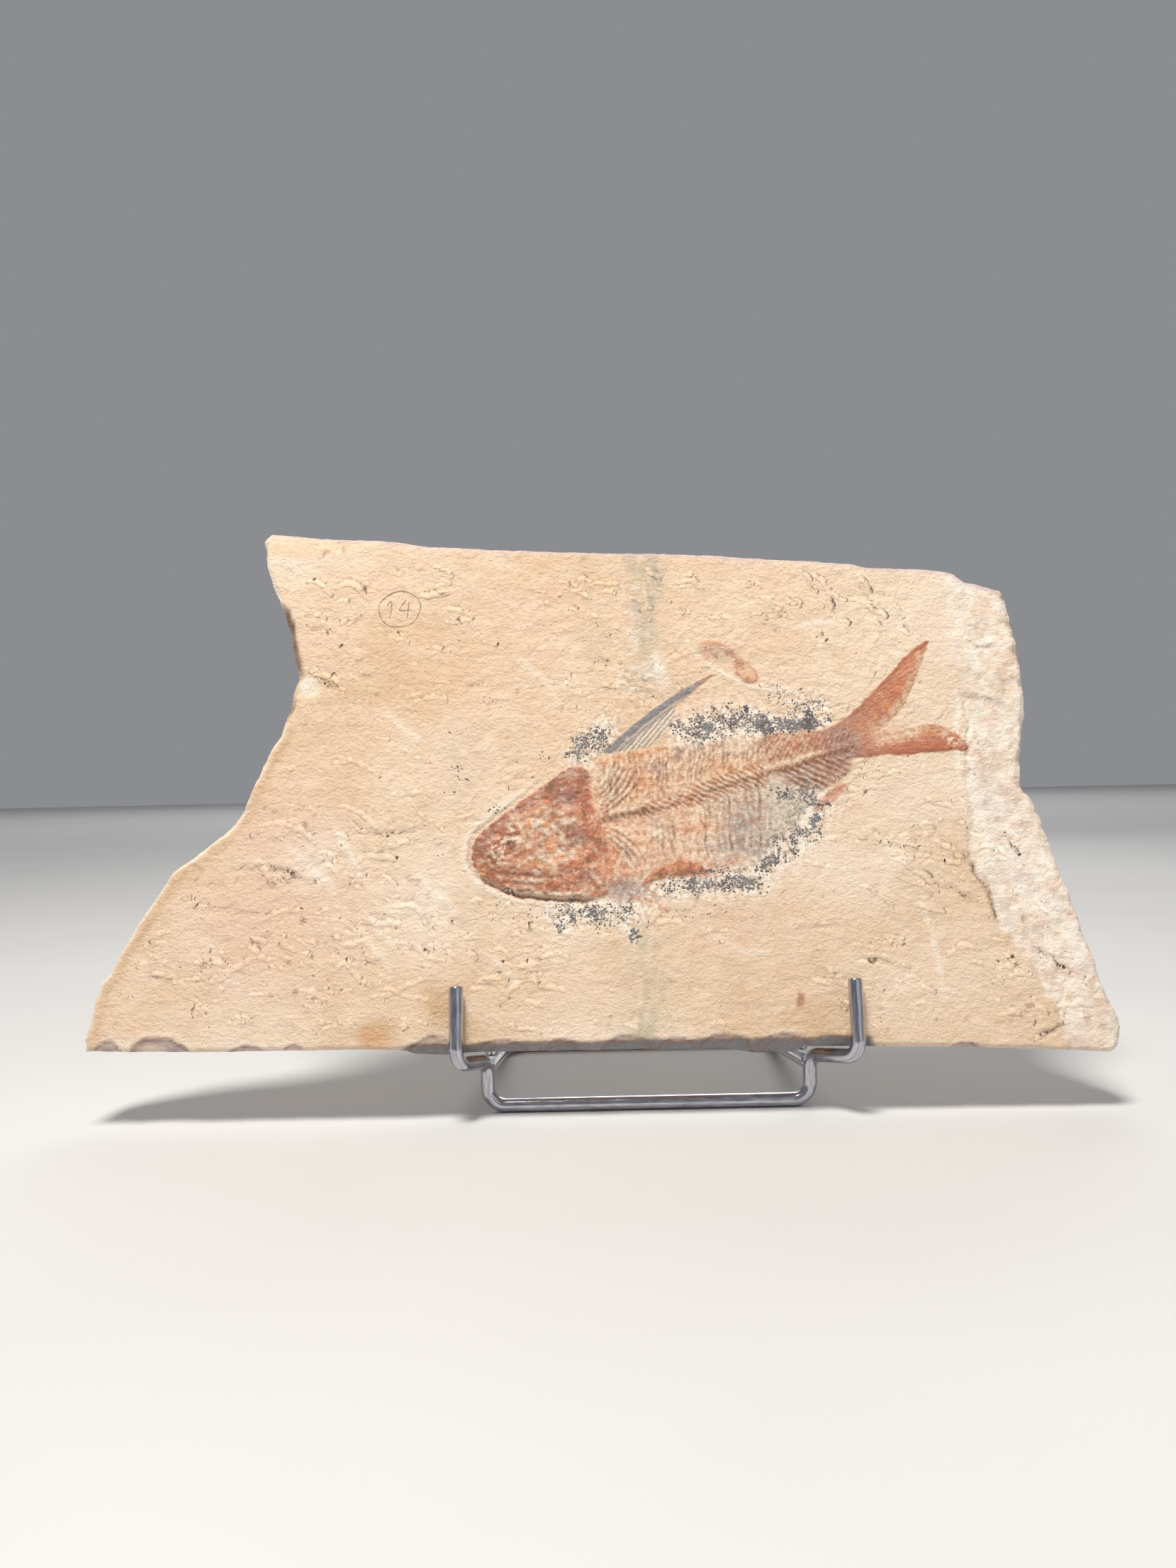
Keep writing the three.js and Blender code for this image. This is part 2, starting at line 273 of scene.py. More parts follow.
def rounded(points, closed=False, rounds=2):
    """Corner cutting: in every round, each piece of the line keeps only its quarter points."""
    line = np.asarray(points, float)
    for _ in range(rounds):
        after = np.roll(line, -1, axis=0) if closed else line[1:]
        before = line if closed else line[:-1]
        cut = np.stack([0.75 * before + 0.25 * after, 0.25 * before + 0.75 * after], axis=1)
        cut = cut.reshape(-1, 2)
        line = cut if closed else np.vstack([line[:1], cut, line[-1:]])
    return line


def near(across, up, points):
    """Distance to a line of straight pieces, the side of it (left is plus one) and the place
    along it: each place is dropped square onto every piece and the nearest piece is kept."""
    line = np.asarray(points, float)
    gap = np.full(np.shape(across), 1e6)
    side = np.zeros(np.shape(across))
    place = np.zeros(np.shape(across))
    run = 0.0
    for start, end in zip(line[:-1], line[1:]):
        step = end - start
        length = math.hypot(step[0], step[1])
        share = ((across - start[0]) * step[0] + (up - start[1]) * step[1]) / length**2
        share = np.clip(share, 0.0, 1.0)
        right = across - start[0] - share * step[0]
        above = up - start[1] - share * step[1]
        here = np.hypot(right, above)
        closer = here < gap
        gap = np.where(closer, here, gap)
        side = np.where(closer, np.sign(step[0] * above - step[1] * right), side)
        place = np.where(closer, run + share * length, place)
        run += length
    return gap, side, place / run


def inside(across, up, ring):
    """Distance inside a closed ring, minus outside it: the distance to its nearest side, with
    the sign from counting the sides that a line to the right crosses."""
    ring = np.asarray(ring, float)
    closed = np.vstack([ring, ring[:1]])
    gap = near(across, up, closed)[0]
    odd = np.zeros(np.shape(across), bool)
    for start, end in zip(closed[:-1], closed[1:]):
        if start[1] == end[1]:
            continue
        slope = (end[0] - start[0]) / (end[1] - start[1])
        spans = (start[1] > up) != (end[1] > up)
        odd ^= spans & (across < slope * (up - start[1]) + start[0])
    return np.where(odd, gap, -gap)


def bell(value, width):
    """Bell curve: e to the power of minus the square of the value over the width."""
    return np.exp(-((value / width) ** 2))


def span(value, start, full, end, gone):
    """One between full and end, nought before start and past gone, smooth steps between."""
    return ramp(start, full, value) * (1 - ramp(end, gone, value))


def ends_fade(place):
    """Root of a sine along a line: one in its middle and nought at both ends."""
    return np.sqrt(np.clip(np.sin(np.pi * np.clip(place, 0.0, 1.0)), 0.0, 1.0))


def unit(vectors):
    """The same vectors with a length of one."""
    length = np.sqrt(np.sum(vectors**2, axis=-1, keepdims=True))
    return vectors / np.maximum(length, 1e-9)


def left_of(ahead):
    """Flat directions turned a quarter to the left."""
    return np.stack([-ahead[..., 1], ahead[..., 0]], axis=-1)


def streak(across, up, points, width, taper=True):
    """A soft line: the bell curve of the distance to it, fading towards its two ends."""
    gap, _, place = near(across, up, points)
    return bell(gap, width) * (ends_fade(place) if taper else 1.0)


def spot(across, up, centre_across, centre_up, half_across, half_up, soft=0.35):
    """A soft oval patch: one in the middle, nought outside, with a smooth border."""
    reach = np.hypot((across - centre_across) / half_across, (up - centre_up) / half_up)
    return 1.0 - ramp(1.0 - soft, 1.0 + soft, reach)


# ---------------------------------------------------------------- the slab's face

TONES = [
    "rust", "orange", "violet", "umber",
    "ochre", "moss", "chalk", "chip",
    "slate", "cream", "pink", "bark",
]


def fresh_tones(shape):
    """One empty mask for each tone."""
    return {name: np.zeros(shape) for name in TONES}


def lay(tones, mask, where=..., **weights):
    """Adds to each named tone the mask times the tone's own weight, at some places or at all."""
    for name, weight in weights.items():
        tones[name][where] += weight * mask


def dim(tones, mask, **shares):
    """Multiplies each named tone by one less the mask times the tone's own share."""
    for name, share in shares.items():
        tones[name] *= 1.0 - share * mask


def blots(tones, mask, rows, across, up, flicker=0.0, waver=0.0):
    """Lays a table of soft ovals. A row holds the tone, its strength, how much of the flicker
    noise is added to that, how much of the waver noise shifts it, its centre, its half sizes
    and the softness of its border."""
    for name, strength, lively, shift, *oval in rows:
        tones[name] += mask * (strength + lively * flicker) * spot(across + shift * waver, up, *oval)


def bedding(across, up, tones, look):
    """Height of the split limestone face: broad swells, plus tilted plates (a stepped copy of a
    slow noise less the noise itself), plus drawn-out ridges whose strength comes and goes, less
    each crack's bell-shaped groove with a raised lip beside it, less the missing layer."""
    drift_across = across + 5.0 * rough(across / 24, up / 24, 11)
    drift_up = up + 5.0 * rough(across / 24, up / 24, 12)
    out = 0.26 * rough(across / 60, up / 50, 13)
    patchy = 0.25 + 0.75 * ramp(-0.35, 0.45, rough(across / 15, up / 12, 31, 2))
    thick = 4.2 * rough(drift_across / 40, drift_up / 32, 14, 4) + 0.03 * up - 0.02 * across
    thin = 3.4 * rough(drift_across / 26, drift_up / 19, 18, 2)
    for level, start, share in ((thick, 0.80, 1.0), (thin, 0.72, 0.60)):
        step = np.floor(level) + ramp(start, 1.0, level - np.floor(level))
        out += share * look.plate_step * (step - level) * patchy
    out += 0.10 * rough(across / 2.1, up / 1.7, 29, 3)
    for tilt, size, seed, octaves, patch, share, limits in (
        (-24.0, (8.5, 4.6), 21, 3, (30, 24), 1.0, (-0.35, 0.55)),
        (-8.0, (3.8, 2.6), 25, 2, (17, 14), 0.62, (-0.4, 0.5)),
    ):
        along, square = turned(drift_across, drift_up, tilt)
        ridge = 1.0 - np.abs(rough(along / size[0], square / size[1], seed, octaves))
        strength = ramp(*limits, rough(across / patch[0], up / patch[1], seed + 2))
        out += share * look.wrinkle * (ridge - 0.6) * (0.35 + strength)

    bent_across = across + 0.55 * rough(across / 2.6, up / 2.6, 35, 2)
    bent_up = up + 0.55 * rough(across / 2.6, up / 2.6, 37, 2)
    for points, depth, width in CRACKS:
        gap, side, place = near(bent_across, bent_up, rounded(points, rounds=1))
        groove = ends_fade(place) * bell(gap, width)
        lip = ends_fade(place) * bell(gap * side - 1.9 * width, 1.3 * width)
        out += 0.45 * depth * lip - depth * groove
        # painted shade: umber laid along each crack's groove, stronger on its left side, where shade falls
        # in the crack
        lay(tones, groove * (0.75 + 0.25 * side), umber=np.clip(depth * 1.5 - 0.24, 0.0, 0.6))
    for points in LEDGES:
        gap, side, place = near(bent_across, bent_up, rounded(points, rounds=1))
        fade = ends_fade(place)
        out += fade * (0.13 * bell(gap, 0.9) - 0.08 * bell(gap - side * 1.8, 1.0))
        lay(tones, fade * bell(gap, 0.75), chalk=0.50)

    # the top layer that is missing at the right, whose border softens towards the top
    gap, side, _ = near(across, up, rounded(LAYER_LINE, rounds=1))
    beyond = -side * gap + 1.3 * rough(across / 5.5, up / 5.5, 39)
    high_up = ramp(98, 114, up)
    strayed = beyond + 2.4 * high_up * rough(across / 4, up / 4, 46)
    missing = ramp(-0.35 - 5.0 * high_up, 0.75 + 7.0 * high_up, strayed)
    out -= look.layer_step * missing * (1 - 0.7 * high_up)
    out += missing * (0.16 * rough(across / 5, up / 5, 43, 3) - 0.04)
    # painted shadow: an umber line along the missing layer's edge, where the higher layer casts shade,
    # strongest between 37 and 50 mm up and broken by noise below the top
    dark = 0.30 * ramp(0.15, 0.6, rough(across / 4, up / 4, 45)) * (1 - high_up)
    lay(tones, bell(beyond - 0.25, 0.55), umber=0.60 * span(up, 33, 37, 50, 57) + dark)
    crumbs = rough(across / 2.2, up / 2.2, 47, 3)
    lay(
        tones, missing, chalk=0.64 - 0.16 * high_up + 0.40 * crumbs,
        pink=np.clip(0.02 + 0.5 * rough(across / 5, up / 5, 49, 3), 0.0, 0.6),
        umber=np.clip(-0.45 * crumbs - 0.18, 0.0, 0.13),
        slate=np.clip(0.30 * rough(across / 3.0, up / 2.4, 44, 3) - 0.02, 0.0, 0.12),
    )
    lay(tones, spot(across + crumbs, up, 113.4, 58.5, 2.6, 7.5, 0.5), chalk=0.9, cream=0.5)
    return out


# Stains of the stone, as rows for blots.
STAINS = [
    ("moss", 0, 0.6, 0, 18.5, 141, 2.6, 8.0, 0.7), ("slate", 0, 0.16, 0, 18.5, 141, 2.6, 8.0, 0.7),
    ("chalk", 0.45, 0.9, 1, 19.5, 114, 2.6, 5.0, 0.8), ("slate", 0, 0.10, 1, -41, 86, 6, 13, 0.6),
    ("ochre", 0.85, 0, 1, -66, 6.5, 5.5, 4.0, 0.6), ("orange", 0.30, 0, 1, -67, 5.5, 3.2, 2.4, 0.6),
    ("umber", 0.65, 0, 0.4, 57.6, 13.6, 1.1, 2.0, 0.4), ("orange", 0.45, 0, 0.4, 57.9, 13.2, 1.6, 2.4, 0.4),
    ("ochre", 0.42, 0, 1, 65, 8, 8, 6, 0.7), ("ochre", 0.55, 0, 1, -49, 14, 4, 6, 0.7),
    ("ochre", 0.30, 0, 1, -38, 4, 8, 4, 0.7), ("pink", 0.35, 0, 1, -92, 68, 14, 10, 0.8),
    ("chalk", 0.30, 0, 1, -85, 62, 15, 9, 0.8), ("pink", 0.25, 0, 1, 36, 36, 22, 8, 0.8),
    ("chalk", 0.25, 0, 1, 78, 52, 20, 9, 0.8), ("pink", 0.40, 0, 1, -102, 38, 22, 18, 0.9),
    ("chalk", 0.28, 0, 2, -86, 56, 8, 6, 0.8), ("chalk", 0.24, 0, 2, -52, 44, 11, 14, 0.9),
    ("umber", 0.75, 0, 0, -88, 39.5, 0.75, 0.75, 0.5), ("umber", 0.75, 0, 0, -94.5, 26, 0.6, 0.6, 0.5),
    ("umber", 0.75, 0, 0, -92, 27.5, 0.525, 0.525, 0.5), ("umber", 0.75, 0, 0, -97, 18, 0.525, 0.525, 0.5),
]


def stains(across, up, tones):
    """Stone colouring: slow noise gives pale and honey-coloured areas, and soft patches and
    bands give the seep lines, iron spots and specks."""
    warp = 2.2 * rough(across / 7, up / 7, 51)
    slow = rough(across / 48, up / 40, 53)
    blush = rough(across / 13, up / 10, 59, 3)
    mottle = 0.55 + 0.60 * rough(across / 1.6, up / 5.0, 55, 3)
    lay(
        tones, 1.0, ochre=0.16 * ramp(-0.1, 0.9, slow) + np.clip(-0.32 * blush - 0.02, 0.0, 0.2),
        pink=np.clip(0.26 * blush - 0.04, 0.0, 0.18),
        chalk=0.20 * ramp(0.0, 0.9, -slow) + 0.15 * (1 - spot(across, up, -10, 95, 100, 75, 0.45)),
    )
    seep = bell(across - 15.5 + warp, 5.2) * ramp(100, 112, up)
    lay(tones, seep * mottle, moss=0.70, slate=0.16)
    seep = 0.75 * bell(across - 13 + warp, 6.5) * (1 - ramp(26, 40, up))
    seep += 0.22 * bell(across + 1 + warp, 5.0) * ramp(96, 110, up)
    lay(tones, seep * mottle, moss=1.0)
    blots(tones, 1.0, STAINS, across, up, mottle, warp)
    dusty = ramp(0.1, 0.5, rough(across / 1.8, up / 2.2, 60, 3))
    lay(tones, spot(across + warp, up, 13, 120, 5, 22, 0.9) * dusty, chalk=0.6)
    specks = lattice_noise(across / 1.5, up / 1.5, 57) * lattice_noise(across / 9, up / 9, 58)
    lay(tones, ramp(0.55, 0.75, specks), umber=0.45)

# ---------------------------------------------------------------- the fossil


def comb(phase, sharpness=1.0):
    """Even ridges from 0 to 1 along a phase that counts them: a raised cosine to a power."""
    return (0.5 + 0.5 * np.cos(2.0 * np.pi * phase)) ** sharpness


# Grooves of the skull: points, depth, half width and darkness.
SKULL_GROOVES = [
    ([[-32.5, 53.2], [-28, 52.4], [-24, 51.6], [-18, 51.0], [-13, 50.8], [-9, 51.8]], 0.20, 0.55, 0.75),
    ([[-30, 51.4], [-25, 49.8], [-20, 48.6], [-14, 48.6]], 0.14, 0.45, 0.55),
    ([[-33, 55], [-29, 54], [-23, 53], [-17, 53]], 0.10, 0.45, 0.35),
    ([[-29, 48.3], [-24, 47.2], [-18, 46.4], [-12, 46.4]], 0.12, 0.40, 0.65),
    ([[-23, 55.5], [-20, 58], [-16, 61], [-14.6, 65]], 0.14, 0.6, 0.35),
    ([[-16, 66.4], [-13, 70.4], [-14, 74.5], [-19, 74.8]], 0.12, 0.55, 0.30),
    ([[-10, 56.5], [-12, 61], [-12.4, 65.8], [-11, 69]], 0.12, 0.5, 0.30),
    ([[-5, 58], [-3, 63.6], [-4.6, 70.5], [-5.6, 78]], 0.13, 0.55, 0.35),
    ([[-2.4, 50.4], [-0.6, 46.6], [2.4, 44.6]], 0.10, 0.45, 0.35),
    ([[-25, 67.6], [-19, 69.4], [-14, 68.4]], 0.10, 0.5, 0.25),
]

# Raised bones of the jaw: points, height, half width and paleness.
JAW_BONES = [
    ([[-30, 54], [-25, 52.9], [-18, 52.4], [-11, 53.2]], 0.10, 0.7, 0.0),
    ([[-31.5, 51.9], [-27, 50.4], [-22, 49.6], [-16, 49.8]], 0.10, 0.5, 0.45),
    ([[-28.5, 48.0], [-22, 46.6], [-15, 45.8], [-8, 45.7], [-3, 45.7]], 0.20, 0.60, 1.3),
    ([[-4, 53], [-1, 50], [0.6, 46.4]], 0.10, 0.7, 0.4),
]
CROWN = [[-37, 60], [-33, 65.6], [-25, 71.2], [-18, 77], [-8, 82.6], [-3.6, 81]]
GILL = [[-2, 83], [-1.2, 78], [0.2, 72], [1.6, 66], [3.6, 60], [4.0, 54], [2.4, 49.5]]

# Bruises and bright bones of the skull, as rows for blots.
SKULL_SPOTS = [
    ("orange", 0.55, 0, 0, -19, 63, 2.4, 2.4, 0.4), ("violet", 0.75, 0, 0.8, -9.4, 74.6, 2.8, 2.4, 0.9),
    ("violet", 0.60, 0.4, 0.8, -8, 62.6, 3.6, 3.2, 0.9), ("umber", 0.25, 0.4, 0.8, -8, 63.2, 2.6, 2.4, 0.9),
    ("violet", 0.40, 0, 0, -3.5, 50.5, 3.4, 2.4, 0.8),
]


def skull(across, up, tones, look):
    """Height of the head: a low dome of the distance inside its outline, with lumps, jaw and
    cheek grooves, a raised pale rim under the jaw and a hollow cut in the stone below it."""
    lumps = rough(across / 3.4, up / 3.0, 61, 3)
    grit = rough(across / 1.2, up / 1.1, 65, 2)
    head = inside(across + 0.5 * grit, up + 0.35 * lumps, rounded(HEAD, closed=True))
    nape = ramp(-6, 0, across)
    on = ramp(-0.3 - 0.9 * nape, 0.35 + 0.5 * nape, head)
    dome = 1.0 - (1.0 - np.clip(head / 8.0, 0.0, 1.0)) ** 2
    out = on * look.head_height * (0.38 + 0.62 * dome)
    out += on * (0.24 * lumps * dome + 0.12 * grit)

    # the hollow under the jaw and the halo in front
    low_side = span(across, -37, -33, -6.0, 1.5) * (1 - ramp(52.0, 57.0, up))
    hollow = bell(head + 0.95, 0.65) * low_side
    halo = bell(head + 1.2, 0.7) * (1 - low_side) * (1 - ramp(-30, -22, across))
    far_halo = bell(head + 2.6, 0.9) * (1 - ramp(-26, -16, across))
    out += 0.12 * far_halo - 0.16 * halo - look.hollow_depth * hollow
    # painted shade: umber and slate in the hollow under the jaw, and umber in the shallow dip round the
    # snout
    lay(tones, hollow, umber=0.80, slate=0.30 * ramp(-16, 0, across))
    lay(tones, halo, umber=0.28)
    lay(tones, far_halo, chalk=0.45)

    # bone colours, darker over the crown and paler on the cheek
    soft = rough(across / 2.9, up / 2.3, 69, 3)
    patches = rough(across / 4.6, up / 3.4, 67, 2) + 0.3 * grit
    amber = 0.46 + 0.55 * rough(across / 4.4, up / 3.6, 71, 3)
    lay(
        tones, on, rust=0.66 + 0.34 * soft + 0.16 * lumps + np.clip(0.60 * patches, 0.0, 0.4),
        orange=amber + np.clip(0.34 - 0.5 * patches, 0.0, 0.6),
        umber=np.clip(0.44 * patches - 0.08, 0.0, 0.30),
        cream=np.clip(-0.46 * patches - 0.14, 0.0, 0.26),
    )
    crown = on * streak(across, up, CROWN, 3.0, False)
    lay(tones, crown, rust=0.55, umber=0.26 + 0.30 * lumps, violet=0.34 - 0.3 * grit)
    lay(tones, on * spot(across, up, -34.5, 58.5, 3.6, 4.6, 0.6), umber=0.16, rust=0.30)
    cheek = spot(across, up, -17.5, 58.5, 9.0, 6.4, 0.9) + spot(across, up, -18, 68, 8, 4.4, 0.9)
    flecks = 0.18 + 0.90 * rough(across / 1.9, up / 1.5, 73, 3) + 0.3 * soft
    lay(
        tones, on * cheek, cream=np.clip(flecks, 0.0, 0.80), ochre=0.95,
        moss=np.clip(0.6 * soft, 0.0, 0.4),
    )
    lay(
        tones, on, cream=np.clip(0.95 * rough(across / 1.1, up / 0.8, 77, 2) - 0.22, 0.0, 0.48),
        umber=np.clip(1.10 * rough(across / 1.6, up / 1.0, 79, 3) - 0.20, 0.0, 0.55),
    )
    dim(tones, np.clip(cheek, 0.0, 1.0) * on, umber=0.45, rust=0.40, orange=0.25)

    # snout marks, eye and the round bone behind it
    cells = rough(across / 1.0, up / 1.1, 75, 2)
    snout = on * bell(near(across, up, [[-31, 57], [-29.5, 60], [-26.5, 61.8], [-25, 65]])[0], 2.6)
    lay(tones, snout, cream=1.1 * ramp(-0.10, 0.30, cells), umber=0.55 * ramp(0.1, 0.5, -cells), rust=0.4)
    eye = spot(across, up, -26.2, 59.8, 2.1, 1.7, 0.5)
    lay(tones, eye, umber=0.45, rust=0.55)
    ring = bell(np.hypot(across + 19, up - 63) - 2.4, 0.6)
    lay(tones, ring, umber=0.30)
    out += 0.12 * snout * rough(across / 1.3, up / 1.5, 75, 2) - 0.14 * eye + 0.07 * ring
    blots(tones, 1.0, SKULL_SPOTS, across, up, grit, lumps)
    # painted highlight: a small cream spot on the cheek bone that stands in for a glint
    lay(tones, spot(across + 0.5 * grit, up, -9.2, 67.4, 2.4, 1.0, 0.6), cream=0.9)
    for points in ([[-13.5, 57], [-11.5, 58.5], [-10.5, 60]], [[-3, 53.5], [-1, 54.4]]):
        lay(tones, streak(across, up, points, 0.8), cream=0.7)

    for points, depth, width, shade in SKULL_GROOVES:
        cut = streak(across + 0.3 * grit, up + 0.3 * grit, rounded(points, rounds=1), width) * on
        out -= depth * cut
        lay(tones, cut, umber=shade)
    for points, rise, width, pale in JAW_BONES:
        bone = streak(across + 0.2 * grit, up, rounded(points, rounds=1), width)
        out += rise * bone
        lay(tones, bone, cream=pale)
        dim(tones, np.clip(bone, 0.0, 1.0), rust=0.75 * pale)
    strands = comb((up + 0.14 * across + 0.35 * grit) / 1.25, 1.6)
    below = on * (1 - ramp(52, 56, up)) * ramp(-30, -24, across)
    out += 0.05 * (strands - 0.4) * below
    lay(tones, (1 - strands) * below * ramp(-0.2, 0.5, lumps), umber=0.30)

    gill = streak(across, up, GILL, 1.3, False)
    lay(tones, gill, pink=0.55, orange=0.25)
    dim(tones, np.clip(gill, 0.0, 1.0), rust=0.65)
    out += 0.05 * gill
    return out, on


# Bruises, mineral spots and bright bones of the body, as rows for blots.
BODY_SPOTS = [
    ("pink", 0.45, 0, 0, 18, 61.5, 3.0, 4.6, 0.5), ("orange", 0.14, 0, 0, 31, 63, 4.5, 3.0, 0.6),
    ("slate", 0.45, 0.5, 2, 35, 59.4, 5.0, 2.8, 0.9), ("orange", 0.22, 0, 1, 29, 62.6, 3.4, 2.6, 0.8),
    ("orange", 0.36, 0, 1, 45.5, 67, 2.4, 5.0, 0.8), ("slate", 0.30, 0, 1, 44, 64, 6.5, 7.5, 0.7),
    ("slate", 0.30, 0, 1, 4, 80.5, 3.4, 4.0, 0.7), ("slate", 0.40, 0, 1, 19, 82.5, 3.0, 2.4, 0.6),
    ("violet", 0.50, 0, 1, 24, 87.5, 1.5, 2.6, 0.6), ("cream", 0.50, 0, 1, 33, 56.4, 5, 1.2, 0.6),
    ("orange", 0.42, 0, 1, 6.5, 60, 8.5, 8.0, 0.7), ("ochre", 0.30, 0, 1, 6.5, 60, 8.5, 8.0, 0.7),
]
BREAST_SPOTS = [
    ("slate", 0.45, 0.6, 1, 6.5, 47.6, 5.0, 3.0, 0.9), ("violet", 0.40, 0, 1, 7.5, 46.6, 5.0, 2.6, 0.9),
    ("rust", 0.315, 0.27, 1, 3.6, 50.6, 3.2, 5.0, 0.8), ("orange", 0.40, 0, 1, 6.0, 49.0, 6.0, 4.0, 0.9),
    ("rust", 0.85, 0, 1, 29.4, 51.0, 4.6, 1.2, 0.5),
]
LOOSE_RAYS = [
    [[11, 46], [14, 43.4], [18, 41], [20.6, 39.6]], [[13, 47], [16.4, 45.0], [18.6, 44.4]],
    [[8.4, 45.4], [11.4, 43.6], [13, 42.4]],
]


def rib_arc(number, start, shift):
    """One rib of a bundle: the first rib's points, each moved by its own step per number."""
    return np.asarray(start, float) + number * np.asarray(shift, float)


def flank(across, up, tones, look):
    """Height of the body: a low pad inside its outline; above the spine, combs of leaning
    spines; across it, short slanting strokes; below it, upright ribs; and drawn rib bundles."""
    jitter = rough(across / 2.4, up / 2.4, 81, 2)
    grit = rough(across / 0.9, up / 1.0, 83, 2)
    blotch = rough(across / 6, up / 5, 85, 3)
    sway = rough(across / 5.5, up / 8, 86, 3)
    fade = ramp(-0.35, 0.45, rough(across / 2.4, up / 5.5, 87, 3))
    spine = np.interp(across, [p[0] for p in SPINE], [p[1] for p in SPINE])
    body = inside(across + 0.6 * jitter, up + 0.7 * jitter, rounded(BODY, closed=True))
    on = ramp(-0.8, 1.2, body)
    rise = up - spine
    rib = look.rib_height
    out = on * look.body_height * (0.35 + 0.65 * ramp(0.0, 5.0, body))
    out += on * (0.05 * jitter + 0.06 * grit)

    above = on * ramp(1.5, 3.5, rise) * ramp(-1.5, 1.5, across)
    under = on * ramp(0.5, 2.5, -rise) * ramp(0.0, 3.0, across)
    rear = ramp(46.0, 53.0, across)
    front = 1.0 - rear
    lay(
        tones, above, orange=(0.40 + 0.26 * blotch) * (1 - 0.3 * rear), rust=rear * (0.50 + 0.2 * jitter),
        ochre=0.30 + 0.25 * blotch + rear * (0.35 - 0.3 * blotch), umber=0.10 * rear,
    )
    lay(tones, under * front, pink=0.45 + 0.30 * blotch, orange=0.16 - 0.30 * blotch)
    grey = under * span(across, 32, 44, 62, 68)
    lay(tones, grey, slate=np.clip(0.22 + 0.20 * blotch + 0.35 * grit, 0.0, 0.6), moss=0.30)
    sharp = on * (1 - 0.65 * ramp(60, 74, across))
    lay(tones, sharp, cream=np.clip(0.80 * grit, 0.0, 0.46), umber=np.clip(-0.60 * grit - 0.04, 0.0, 0.32))

    # leaning spines over the backbone
    spines = comb((across - 0.10 * rise + 1.7 * sway + 0.35 * jitter) / 1.75, 1.3)
    band = above * ramp(2.5, 5.0, rise) * (0.25 + 0.75 * fade) * front
    out += 0.8 * rib * (spines - 0.35) * band
    lay(tones, band, umber=0.38 * (1 - spines), cream=0.28 * spines)
    spines = comb((across - 0.62 * rise + 0.5 * jitter) / 1.55, 1.4)
    band = above * rear * (0.4 + 0.6 * fade)
    out += 0.7 * rib * (spines - 0.4) * band
    lay(tones, band, umber=0.34 * (1 - spines), cream=0.22 * spines)

    # slanting strokes along the backbone
    strokes = comb((across + 1.25 * rise + 0.5 * jitter + 0.6 * sway) / 1.95, 1.1)
    swell = ramp(22, 32, across)
    zone = span(rise, -3.0 - 1.5 * swell, -1.2 - 1.7 * swell, 1.3 + 0.7 * swell, 2.9 + 0.7 * swell)
    zone *= span(across, 9.5, 14.0, 48.5, 52.0) * on
    out += 2.0 * rib * (strokes - 0.35) * zone
    uneven = 0.8 + 0.5 * jitter
    lay(
        tones, zone, orange=0.55, rust=0.50 * (1 - strokes),
        umber=0.60 * (1 - strokes) ** 1.3 * uneven, cream=0.75 * strokes**2 * uneven,
    )
    lay(tones, bell(rise + 0.9, 0.8) * span(across, 12, 16, 48, 52) * on, rust=0.42, umber=0.25)
    strokes = comb((across + 1.05 * rise + 0.5 * jitter) / 1.6, 1.2)
    zone = under * span(across, 24, 30, 50, 56) * span(-rise, 2.5, 4.0, 6.0, 9.5)
    lay(tones, zone, umber=0.34 * (1 - strokes) * fade, cream=0.30 * strokes)

    # heavy vertebrae behind the head, and the dark backbone towards the tail
    beads = comb((across + 0.5 * rise) / 2.05, 0.8)
    chain = bell(rise + 0.1, 0.95) * span(across, -0.8, 0.6, 13, 17)
    out += 0.16 * chain * beads
    lay(tones, chain, umber=0.62 + 0.38 * (1 - beads) + 0.2 * jitter, rust=0.3)
    chain = bell(rise + 0.1 + 0.25 * jitter, 0.85) * span(across, 49, 52, 76, 80)
    beads = comb((across - 0.6 * rise) / 1.7, 0.9)
    out += 0.15 * chain * beads
    lay(tones, chain, umber=0.60 + 0.30 * (1 - beads), rust=0.45)
    crest = bell(rise - 1.35, 0.45) * span(across, 57, 60, 66, 71)
    out += 0.05 * crest
    lay(tones, crest, cream=0.35)
    lay(tones, on * bell(rise + 0.6, 1.8) * ramp(50, 60, across), rust=0.35)

    # haemal spines raking back under the rear backbone
    fan = ramp(-0.8, 0.6, inside(across + 0.5 * jitter, up, rounded(HAEMAL_FAN, closed=True)))
    fan = fan * (1 - 0.5 * ramp(0.5, 1.5, rise))
    rake = comb((up + 0.50 * across + 0.25 * jitter) / 1.9, 1.2)
    out += 1.5 * rib * (rake - 0.4) * fan
    lay(
        tones, fan, pink=0.45, violet=0.30, rust=0.40,
        umber=0.85 * (1 - rake) ** 1.4 * uneven, cream=0.22 * rake**2,
    )
    stalk = on * ramp(66, 72, across)
    strand = comb((up - 0.28 * across + 0.35 * jitter) / 1.5, 1.2)
    lay(tones, stalk, pink=0.35, violet=0.30, rust=0.66, cream=0.09 * strand, umber=0.14 * (1 - strand))

